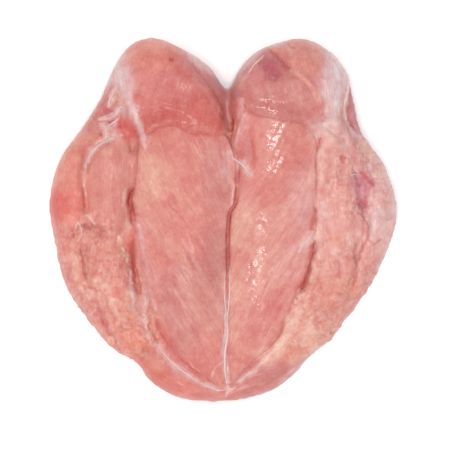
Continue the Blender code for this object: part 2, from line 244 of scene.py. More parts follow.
class Tone(Enum):
    """Colours of raw chicken in the photograph, as sRGB."""

    PINK = (218, 128, 123)
    SALMON = (226, 144, 134)
    WARM = (238, 155, 141)
    PALE = (227, 152, 141)
    ROSE = (221, 148, 147)
    DEEP = (212, 112, 105)
    DUSKY = (213, 139, 133)
    TORN = (231, 162, 149)
    TORN_PALE = (239, 188, 171)
    MILKY = (235, 199, 201)
    FASCIA = (238, 205, 203)
    LILAC = (223, 172, 177)
    MAUVE = (204, 143, 150)
    PURPLE = (190, 102, 114)
    MAGENTA = (206, 88, 106)
    ORCHID = (218, 126, 148)
    CREAM = (233, 174, 155)
    IVORY = (249, 208, 193)
    VEIL = (232, 180, 177)
    FAT = (240, 188, 172)
    SINEW = (246, 197, 191)
    BLUSH = (244, 205, 202)
    ROSY = (239, 181, 174)
    HAZE = (248, 224, 232)
    ORANGE = (236, 142, 112)
    RED = (210, 98, 92)
    SCARLET = (232, 108, 104)
    # dark red of the shade painted into creases
    FOLD_SHADE = (196, 102, 95)
    ASHEN = (196, 136, 128)
    BLOOD = (186, 60, 56)

    @property
    def albedo(self) -> Array:
        """Linear base colour that shows as this tone in the studio's light."""
        share = np.array(self.value, dtype=float) / 255
        linear = np.where(share > 0.04045, ((share + 0.055) / 1.055) ** 2.4, share / 12.92)
        return np.clip((linear - GLOSS_LEVEL) / LIGHT_LEVEL, LEAST_ALBEDO, 1.0)


class Seed(IntEnum):
    """Which noise each effect on the meat takes."""

    FORM_ACROSS = 1
    FORM_ALONG = 2
    CRAG = 3
    FINE_CRAG = 4
    CRINKLE = 8
    BORDER_ACROSS = 21
    BORDER_ALONG = 22
    TEAR_ACROSS = 33
    TEAR_ALONG = 34
    LUMP = 35
    SMALL_LUMP = 36
    GRIT = 37
    CREASE_TONE = 38


def dice(column: Array, row: Array, seed: int, draw: int = 0) -> Array:
    """Draw a random share for each cell of a grid.

    Args:
        column: Number of the cell across.
        row: Number of the cell along.
        seed: Which set of draws to take.
        draw: Which of the two draws of a set.

    Returns:
        Values from 0 to 1.
    """
    shift, swing = HASH_DRAWS[draw]
    phase = column * HASH_ACROSS + row * HASH_ALONG + seed * HASH_SEED
    wave = np.sin(phase + shift) * swing
    return wave - np.floor(wave)


def uneven(x: Array, y: Array, size: float, seed: int) -> Array:
    """Smooth value noise with bumps of about the given size.

    Args:
        x: Places across, in mm.
        y: Places along, in mm.
        size: Spacing of the bumps, in mm.
        seed: Which of the noises to take.

    Returns:
        Values from -1 to 1.
    """
    column, row = np.floor(x / size), np.floor(y / size)
    across, along = x / size - column, y / size - row
    across = across * across * (3 - 2 * across)
    along = along * along * (3 - 2 * along)

    def side(step_y: int) -> Array:
        """Blend the draws of the two corners on one side of the cell."""
        left, right = (2 * dice(column + step, row + step_y, seed) - 1 for step in (0, 1))
        return left * (1 - across) + right * across

    return side(0) * (1 - along) + side(1) * along


def cells(x: Array, y: Array, size: float, seed: int) -> tuple[Array, Array]:
    """Scatter of cells, for lumps with creases between them.

    Args:
        x: Places across, in mm.
        y: Places along, in mm.
        size: Spacing of the cells, in mm.
        seed: Which scatter to take.

    Returns:
        Distance to the nearest cell's middle, and how much further the next one is,
        both as shares of the spacing.
    """
    first = np.full(len(x), np.inf)
    second = np.full(len(x), np.inf)
    for step_x, step_y in product((-1, 0, 1), repeat=2):
        column, row = np.floor(x / size) + step_x, np.floor(y / size) + step_y
        away_x = x / size - column - dice(column, row, seed)
        away_y = y / size - row - dice(column, row, seed, 1)
        away = np.hypot(away_x, away_y)
        second = np.minimum(second, np.maximum(first, away))
        first = np.minimum(first, away)
    return first, second - first


def closed_spline(points: Path) -> Array:
    """Draw a smooth closed loop through points, as a centripetal Catmull-Rom curve.

    Args:
        points: The points, in mm.

    Returns:
        The loop, one row for each place.
    """
    knots = np.array(points, dtype=float)
    loop = []
    for index in range(len(knots)):
        p0, p1, p2, p3 = (knots[(index + step) % len(knots)] for step in (-1, 0, 1, 2))
        t1 = np.sqrt(np.linalg.norm(p1 - p0))
        t2 = t1 + np.sqrt(np.linalg.norm(p2 - p1))
        t3 = t2 + np.sqrt(np.linalg.norm(p3 - p2))
        for t in np.linspace(t1, t2, SPLINE_STEPS, endpoint=False):
            a1 = (t1 - t) / t1 * p0 + t / t1 * p1
            a2 = (t2 - t) / (t2 - t1) * p1 + (t - t1) / (t2 - t1) * p2
            a3 = (t3 - t) / (t3 - t2) * p2 + (t - t2) / (t3 - t2) * p3
            b1 = (t2 - t) / t2 * a1 + t / t2 * a2
            b2 = (t3 - t) / (t3 - t1) * a2 + (t - t1) / (t3 - t1) * a3
            loop.append((t2 - t) / (t2 - t1) * b1 + (t - t1) / (t2 - t1) * b2)
    return np.array(loop)


def near_path(x: Array, y: Array, path: Any, closed: bool = False) -> tuple[Array, Array]:
    """Find how far each place is from a path of straight runs.

    Args:
        x: Places across, in mm.
        y: Places along, in mm.
        path: Points of the path.
        closed: Whether the last point runs back to the first.

    Returns:
        Distance to the path in mm, and the share of its length where it is nearest.
    """
    points = np.array(path, dtype=float)
    ends = np.roll(points, -1, axis=0) if closed else points[1:]
    starts = points[: len(ends)]
    lengths = np.linalg.norm(ends - starts, axis=1)
    before = np.concatenate([[0], np.cumsum(lengths)])
    nearest = np.full(len(x), np.inf)
    share = np.zeros(len(x))
    for start, end, length, travelled in zip(starts, ends, lengths, before):
        run = (end - start) / length
        along = np.clip((x - start[0]) * run[0] + (y - start[1]) * run[1], 0, length)
        gap = np.hypot(x - start[0] - along * run[0], y - start[1] - along * run[1])
        closer = gap < nearest
        nearest = np.where(closer, gap, nearest)
        share = np.where(closer, (travelled + along) / before[-1], share)
    return nearest, share


def inside_loop(x: Array, y: Array, loop: Array) -> Array:
    """Tell which places lie inside a closed loop, by counting crossings.

    Args:
        x: Places across, in mm.
        y: Places along, in mm.
        loop: The loop.

    Returns:
        True at each place inside it.
    """
    crossings = np.zeros(len(x), dtype=bool)
    for start, end in zip(loop, np.roll(loop, -1, axis=0)):
        if start[1] == end[1]:
            continue
        spans = (start[1] > y) != (end[1] > y)
        edge_x = start[0] + (y - start[1]) * (end[0] - start[0]) / (end[1] - start[1])
        crossings ^= spans & (x < edge_x)
    return crossings


def round_over(distance: Array, radius: Any) -> Array:
    """Quarter-round from 0 at the edge to 1 at the radius inside it."""
    inward = np.clip(distance / radius, 0, 1)
    return np.sqrt(1 - (1 - inward) ** 2)


def falloff(distance: Array, width: float) -> Array:
    """Bell curve, 1 at no distance and dying out past the width."""
    return np.exp(-((distance / width) ** 2))


@dataclass(frozen=True)
class Oval:
    """An oval in plan: its middle, half width, half length and turn."""

    x: float
    y: float
    half_width: float
    half_length: float
    turn: float

    def inward(self, x: Array, y: Array) -> tuple[Array, Array]:
        """Places as shares of the half width and half length, from the middle."""
        angle = np.radians(self.turn)
        across = (x - self.x) * np.cos(angle) + (y - self.y) * np.sin(angle)
        along = (y - self.y) * np.cos(angle) - (x - self.x) * np.sin(angle)
        return across / self.half_width, along / self.half_length


@dataclass(frozen=True)
class Lobe(Oval):
    """A domed muscle, with its top height."""

    top: float

    def height(self, x: Array, y: Array) -> Array:
        """Height of the dome above the bed floor, 0 outside it."""
        reach = np.hypot(*self.inward(x, y))
        dome = np.sqrt(np.clip(1 - reach ** LOBE_FULLNESS, 0, 1))
        return (self.top - BED_FLOOR) * dome


@dataclass(frozen=True)
class Groove:
    """A crease along a path, with its half width and depth."""

    path: Path
    half_width: float
    depth: float

    def sink(self, x: Array, y: Array) -> Array:
        """Depth of the crease at each place, in mm."""
        away, _ = near_path(x, y, self.path)
        return self.depth * falloff(away, self.half_width)


LOBES = (
    # left fillet: shoulder cap and its edge at the cleft, flap and bridge beside it
    Lobe(-32, 64, 30, 31, 14, 31.5),
    Lobe(-15, 57, 18, 30, 22, 29.5),
    Lobe(-60, 51, 11, 23, -30, 19),
    Lobe(-49, 46, 10, 15, -20, 24.5),
    # left fillet: rib side as a whole, its outer and inner lobes
    Lobe(-66, -4, 25, 60, 10, 21),
    Lobe(-78, 14, 15, 34, 8, 25.5),
    Lobe(-57, 17, 17, 31, 4, 26.5),
    # left fillet: ragged rib edge in three masses, tail
    Lobe(-60, -24, 18, 27, 20, 25),
    Lobe(-75, -24, 11, 27, 20, 22.5),
    Lobe(-52, -46, 12, 18, 32, 22),
    Lobe(-46, -60, 10, 9, 0, 21),
    Lobe(-43, -42, 7, 24, 8, 18.5),
    Lobe(-30, -74, 24, 17, -30, 17),
    Lobe(-10, -82, 24, 12, -8, 15.5),
    # right fillet: shoulder cap and its edge at the cleft, flap below it
    Lobe(33, 65, 27, 30, -18, 31.5),
    Lobe(15, 65, 17, 26, -30, 30),
    Lobe(61, 54, 9, 23, 16, 16.5),
    Lobe(48, 47, 10, 15, 25, 24),
    # right fillet: rib side as a whole, its inner and outer lobes, oval lump
    Lobe(60, -2, 24, 56, -10, 20),
    Lobe(54, 8, 16, 40, -5, 26.5),
    Lobe(73, 10, 13, 33, -10, 24),
    Lobe(74, -1, 5.5, 10, -8, 26),
    # right fillet: ragged rib edge in three masses, tail
    Lobe(50, -33, 17, 27, -28, 24),
    Lobe(66, -26, 12, 27, -24, 22),
    Lobe(40, -56, 16, 14, -36, 20.5),
    Lobe(24, -72, 23, 15, 34, 17),
    Lobe(8, -82, 20, 12, 8, 15.5),
)

GROOVES = (
    # cleft between the shoulder caps, and the seam between the tenderloins
    Groove(((-0.5, 72), (0.8, 52), (1.6, 38)), 2.8, 6.0),
    Groove(SEAM, 3.0, 5.0),
    # left cap: fold along its edge at the cleft, and sinew band on its other side
    Groove(((-18, 77), (-13, 71), (-5, 61), (-1, 51)), 1.6, 1.2),
    Groove(((-53, 76), (-49, 60), (-46, 53), (-42, 42), (-42, 35)), 2.0, -1.0),
    Groove(((-58, 70), (-53, 58), (-51, 46), (-46, 36)), 2.4, 3.0),
    # left rib side: seam between its lobes, and creases of the ragged edge
    Groove(((-54, 42), (-65, 37), (-70, 30), (-72, 22), (-70, 6)), 2.0, 2.6),
    Groove(((-86, -3), (-76, -6), (-70, -2), (-63, -5)), 2.0, 2.2),
    Groove(((-73, -14), (-70.5, -24), (-69, -31), (-65, -33)), 2.0, 2.4),
    Groove(((-64, -45), (-59.5, -54), (-57, -59)), 2.0, 2.2),
    Groove(((-53, -53), (-45, -51), (-39, -52)), 1.8, 1.6),
    Groove(((-50, -68), (-44, -69), (-39, -65)), 1.8, 2.0),
    # left: pale flap that overhangs the pocket beside the tenderloin
    Groove(((-43, -24), (-41, -36), (-41, -50), (-38, -59)), 1.8, -1.4),
    # right cap: folds, dip beside them, band of fat, edge over the flap below
    Groove(((17.7, 84.5), (24, 81.5), (29.6, 75.7), (32, 72)), 1.9, 2.4),
    Groove(((29, 88.5), (33.5, 84.8)), 1.5, 1.4),
    Groove(((20, 79), (23, 74)), 5.0, 2.4),
    Groove(((31.6, 73.3), (35.5, 70.8), (39.5, 66), (43.5, 62.5)), 2.0, -0.9),
    Groove(((60.5, 72), (59.5, 56), (60, 50), (63, 44), (69, 40)), 1.8, 3.0),
    # right rib side: seam between its lobes, step down to the lower flap of the tail
    Groove(((45, 48), (55, 41), (62, 28), (66, 18), (66, 7)), 2.2, 2.6),
    Groove(((68, 2.5), (69, 0), (69, -8), (65, -16), (63, -26), (61, -36)), 1.8, 2.4),
    Groove(((56.5, 30), (56.5, 21.5)), 1.6, 1.6),
    Groove(((20, -80.5), (29.5, -75.5), (36, -71), (42, -66)), 1.6, 1.8),
    # pockets where the rib lobes stand off the tenderloins
    Groove(((-48, 13), (-48.2, 8), (-46.5, 0)), 1.8, 5.0),
    Groove(((-46.5, -12), (-45, -34)), 1.8, 3.5),
    Groove(((42.5, 3), (42, -5)), 1.8, 4.0),
    Groove(((41.5, -14), (39, -26), (35.5, -33)), 2.0, 4.5),
)

CRAGS: Path = ((-68, -16), (-60, -34), (-50, -52), (64, 18), (58, -30), (42, -50))


def crag_weight(x: Array, y: Array) -> Array:
    """How ragged the meat is, 1 at the middle of a ragged rib edge."""
    weight = np.zeros(len(x))
    for middle_x, middle_y in CRAGS:
        away = np.hypot(x - middle_x, y - middle_y) / CRAG_REACH
        weight = np.maximum(weight, np.clip(1 - away**2, 0, 1))
    return weight


class Tissue(Enum):
    """What a stroke lays on the meat, tissue or painted shade and highlight: tone, lift in mm, wetness,
    soft edge, raggedness.
    """

    FILM = (Tone.FASCIA, 0.12, 0.6, 1.0, 0.6)
    MILK = (Tone.MILKY, 0.05, 0.4, 1.0, 0.5)
    HAZE = (Tone.HAZE, 0.05, 0.4, 1.0, 0.5)
    CURL = (Tone.BLUSH, 0.8, 0.5, 0.8, 0.5)
    STRAND = (Tone.SINEW, 0.2, 0.5, 1.0, 0.5)
    FAT = (Tone.FAT, 0.45, 0.3, 0.5, 0.6)
    CREAM = (Tone.CREAM, 0.0, 0.1, 1.0, 0.5)
    LILAC = (Tone.LILAC, 0.05, 0.5, 1.0, 0.5)
    VEIL = (Tone.VEIL, 0.0, 0.5, 1.0, 0.8)
    IVORY = (Tone.IVORY, 0.2, 0.3, 0.9, 0.6)
    ASH = (Tone.ASHEN, 0.0, 0.2, 1.0, 0.7)
    MAUVE = (Tone.MAUVE, 0.0, 0.2, 0.9, 0.4)
    PURPLE = (Tone.PURPLE, -0.10, 0.3, 0.9, 0.4)
    MAGENTA = (Tone.MAGENTA, 0.0, 0.3, 0.8, 0.5)
    ORCHID = (Tone.ORCHID, 0.0, 0.3, 1.0, 0.6)
    ORANGE = (Tone.ORANGE, 0.0, 0.1, 1.0, 0.5)
    WARM = (Tone.WARM, 0.0, 0.1, 1.0, 0.5)
    PINK = (Tone.PINK, 0.0, 0.1, 1.0, 0.5)
    ROSE = (Tone.ROSE, 0.0, 0.3, 1.0, 0.6)
    RED = (Tone.RED, -0.05, 0.2, 0.9, 0.4)
    SCARLET = (Tone.SCARLET, 0.0, 0.2, 1.0, 0.6)
    BLOOD = (Tone.BLOOD, -0.15, 0.4, 0.7, 0.4)
    # painted shade in a crease, over a real shallow dip
    CREASE = (Tone.FOLD_SHADE, -0.30, 0.1, 0.9, 0.5)
    # painted shade in a pocket or pit, in the dark red of blood, over a real dip
    PIT = (Tone.BLOOD, -0.9, 0.2, 0.7, 0.4)
    # pale lip raised beside a fold, made lighter by a painted highlight on its edge
    LIP = (Tone.PALE, 0.25, 0.2, 0.6, 0.3)
    GLAZE = (None, 0.0, 1.0, 0.8, 0.9)


@dataclass(frozen=True)
class Stroke:
    """A stroke of tissue, or of painted shade or highlight, along a path on the meat."""

    tissue: Tissue
    path: Path
    half_width: float
    strength: float = 1.0

    def reach(self, x: Array, y: Array) -> tuple[Array, Array]:
        """Distance to the path, and the share of the full width there."""
        if len(self.path) == 1:
            ((middle_x, middle_y),) = self.path
            return np.hypot(x - middle_x, y - middle_y), np.ones(len(x))
        away, share = near_path(x, y, self.path)
        from_tip = np.clip(np.minimum(share, 1 - share) * TIP_STEEPNESS, 0, 1)
        return away, TIP_WIDTH + (1 - TIP_WIDTH) * from_tip


@dataclass(frozen=True)
class Patch(Oval):
    """A broad area of one tone, and the angle at which its fibres run."""

    tone: Tone
    grain: float

    def nearness(self, x: Array, y: Array) -> Array:
        """Squared distance from the middle, in half sizes."""
        across, along = self.inward(x, y)
        return across**2 + along**2


@dataclass(frozen=True)
class FibreNoise:
    """Noise drawn out along the fibres: its width in mm, how much longer, and its seed."""

    width: float
    stretch: float
    seed: int

    def on(self, canvas: "Canvas", seed: int) -> Array:
        """Values from -1 to 1 at the vertices, for a piece with the given seed."""
        across, along = canvas.grain[:, 0], canvas.grain[:, 1]
        return uneven(across, along / self.stretch, self.width, seed + self.seed)


BUNDLES = FibreNoise(1.9, 9, 3)
FINE_BUNDLES = FibreNoise(1.1, 7, 4)
WIDE_BANDS = FibreNoise(5.5, 4, 11)
THIN_BANDS = FibreNoise(2.1, 7, 12)
BAND_PATCH_SEED = 13


@dataclass
class Canvas:
    """Paint and fine relief of one piece, held at its vertices."""

    x: Array
    y: Array
    facing: Array
    colour: Array = field(init=False)
    wet: Array = field(init=False)
    lift: Array = field(init=False)
    grain: Array = field(init=False)

    def __post_init__(self) -> None:
        """Start with no paint, plain wetness and no relief."""
        count = len(self.x)
        self.colour = np.zeros((count, 3))
        self.wet = np.full(count, PLAIN_WETNESS)
        self.lift = np.zeros(count)
        self.grain = np.zeros((count, 3))

    def ground(self, patches: tuple[Patch, ...]) -> None:
        """Lay broad areas that melt into each other, with their fibre directions.

        Args:
            patches: The areas.
        """
        x = self.x + BORDER_WANDER * self.bumps(BORDER_WANDER_SIZE, Seed.BORDER_ACROSS)
        y = self.y + BORDER_WANDER * self.bumps(BORDER_WANDER_SIZE, Seed.BORDER_ALONG)
        total = np.zeros(len(x))
        best = np.full(len(x), np.inf)
        for patch in patches:
            nearness = patch.nearness(x, y)
            weight = np.exp(-PATCH_FALLOFF * nearness) + PATCH_FAR_SHARE / (1 + nearness)
            self.colour += weight[:, None] * patch.tone.albedo
            total += weight
            angle = np.radians(patch.grain)
            along = (self.x - patch.x) * np.cos(angle) + (self.y - patch.y) * np.sin(angle)
            across = (self.y - patch.y) * np.cos(angle) - (self.x - patch.x) * np.sin(angle)
            closer = nearness < best
            best = np.where(closer, nearness, best)
            self.grain[:, 0] = np.where(closer, across, self.grain[:, 0])
            self.grain[:, 1] = np.where(closer, along, self.grain[:, 1])
        self.colour /= total[:, None]

    def bumps(self, size: float, seed: int) -> Array:
        """Noise from -1 to 1 at the vertices, with bumps of the given size in mm."""
        return uneven(self.x, self.y, size, seed)

    def lay(self, weight: Array, tone: Tone) -> None:
        """Mix a tone into the paint by a weight at each vertex."""
        self.colour += np.clip(weight, 0, 1)[:, None] * (tone.albedo - self.colour)

    def swing(self, change: Array) -> None:
        """Turn the paint paler or redder by a share at each vertex."""
        self.colour *= 1 + change[:, None] * np.array(HUE_SWING)

    def stroke(self, stroke: Stroke, seed: int) -> None:
        """Lay one stroke of tissue.

        Args:
            stroke: The stroke.
            seed: Makes its ragged edge and its streaks its own.
        """
        tone, lift, wetness, softness, ragged = stroke.tissue.value
        points = np.array(stroke.path, dtype=float)
        margin = STROKE_REACH * stroke.half_width + STROKE_MARGIN
        low, high = points.min(axis=0) - margin, points.max(axis=0) + margin
        near = (self.x > low[0]) & (self.x < high[0]) & (self.y > low[1])
        near &= (self.y < high[1]) & (self.facing > 0)
        if not near.any():
            return
        x, y = self.x[near], self.y[near]
        away, taper = stroke.reach(x, y)
        stray = uneven(x, y, RAG_SIZE * stroke.half_width + RAG_LEAST_SIZE, seed)
        stray = stray + FINE_RAG * uneven(x, y, FINE_RAG_SIZE, seed + 1)
        width = stroke.half_width * taper * (1 + ragged * stray)
        edge = np.clip((width * (1 + softness) - away) / (width * 2 * softness), 0, 1)
        weight = stroke.strength * edge * edge * (3 - 2 * edge) * self.facing[near]
        run = points[-1] - points[0]
        angle = np.arctan2(run[1], run[0])
        along = x * np.cos(angle) + y * np.sin(angle)
        across = y * np.cos(angle) - x * np.sin(angle)
        streaks = uneven(across, along / STREAK_STRETCH, STREAK_WIDTH, seed + 2)
        weight *= 1 - STREAK * (0.5 + 0.5 * streaks)
        if tone is not None:
            paint = self.colour[near]
            self.colour[near] = paint + weight[:, None] * (tone.albedo - paint)
        self.wet[near] += weight * (wetness - self.wet[near])
        self.lift[near] += weight * lift


PATCHES = (
    # left shoulder cap
    Patch(-26, 64, 17, 14, 0, Tone.PINK, 70),
    Patch(-40, 84, 15, 9, 0, Tone.WARM, 80),
    Patch(-43, 72, 8, 13, 0, Tone.SALMON, 80),
    Patch(-22, 52, 20, 10, 0, Tone.DEEP, 80),
    Patch(-53, 70, 4, 12, 12, Tone.MILKY, 100),
    Patch(-10, 69, 4, 14, 40, Tone.ROSE, 120),
    # left rib side and tail
    Patch(-62, 53, 4, 12, -30, Tone.DUSKY, 120),
    Patch(-79, 18, 9, 22, 6, Tone.WARM, 78),
    Patch(-58, 18, 10, 24, 4, Tone.PALE, 88),
    Patch(-62, -20, 15, 16, 0, Tone.TORN, 80),
    Patch(-80, -14, 6, 14, 10, Tone.SALMON, 95),
    Patch(-56, -42, 13, 14, 20, Tone.TORN, 110),
    Patch(-44, -60, 9, 8, 0, Tone.WARM, 100),
    Patch(-28, -76, 16, 8, -30, Tone.PINK, 150),
    Patch(-8, -86, 12, 6, 0, Tone.SALMON, 170),
    # right shoulder cap
    Patch(28, 62, 14, 13, 0, Tone.DUSKY, 110),
    Patch(21, 75, 6, 6, 0, Tone.PURPLE, 90),
    Patch(38, 80, 12, 8, -20, Tone.PALE, 100),
    Patch(55, 67, 9, 20, 0, Tone.FASCIA, 95),
    Patch(8, 70, 6, 10, -30, Tone.ROSE, 60),
    Patch(45, 62, 5, 8, 0, Tone.ROSE, 100),
    # right rib side and tail
    Patch(63, 54, 3, 14, 12, Tone.MAUVE, 60),
    Patch(53, 22, 9, 20, 0, Tone.ROSY, 95),
    Patch(67, 18, 6, 14, -10, Tone.MAUVE, 100),
    Patch(76, 16, 7, 16, -8, Tone.BLUSH, 100),
    Patch(72, -12, 9, 14, -12, Tone.ROSY, 85),
    Patch(53, -14, 10, 16, -10, Tone.ROSY, 100),
    Patch(52, -40, 12, 14, -30, Tone.TORN, 60),
    Patch(36, -60, 12, 10, -40, Tone.TORN_PALE, 45),
    Patch(14, -82, 16, 7, 10, Tone.DUSKY, 20),
)

LEFT_TENDER_PATCHES = (
    Patch(-24, 30, 14, 14, 0, Tone.SALMON, 118),
    Patch(-38, 20, 8, 12, 0, Tone.CREAM, 112),
    Patch(-24, 2, 14, 18, 0, Tone.SALMON, 122),
    Patch(-38, -12, 8, 18, 0, Tone.SALMON, 118),
    Patch(-6, 14, 6, 24, 0, Tone.DUSKY, 110),
    Patch(-6, -20, 6, 20, 0, Tone.DUSKY, 112),
    Patch(-18, -40, 14, 18, 20, Tone.DUSKY, 118),
    Patch(-8, -66, 8, 16, 10, Tone.SALMON, 108),
)

RIGHT_TENDER_PATCHES = (
    Patch(26, 38, 14, 12, 0, Tone.SALMON, 62),
    Patch(20, 20, 12, 13, 0, Tone.SALMON, 55),
    Patch(8, -4, 7, 10, 0, Tone.CREAM, 60),
    Patch(37, 8, 8, 15, 0, Tone.ROSY, 65),
    Patch(26, -8, 13, 15, 0, Tone.PALE, 52),
    Patch(33, -18, 9, 14, -10, Tone.ROSY, 58),
    Patch(10, -40, 10, 20, 0, Tone.PALE, 66),
    Patch(24, -48, 7, 14, -25, Tone.PINK, 60),
    Patch(6, -70, 6, 12, 0, Tone.SALMON, 75),
)
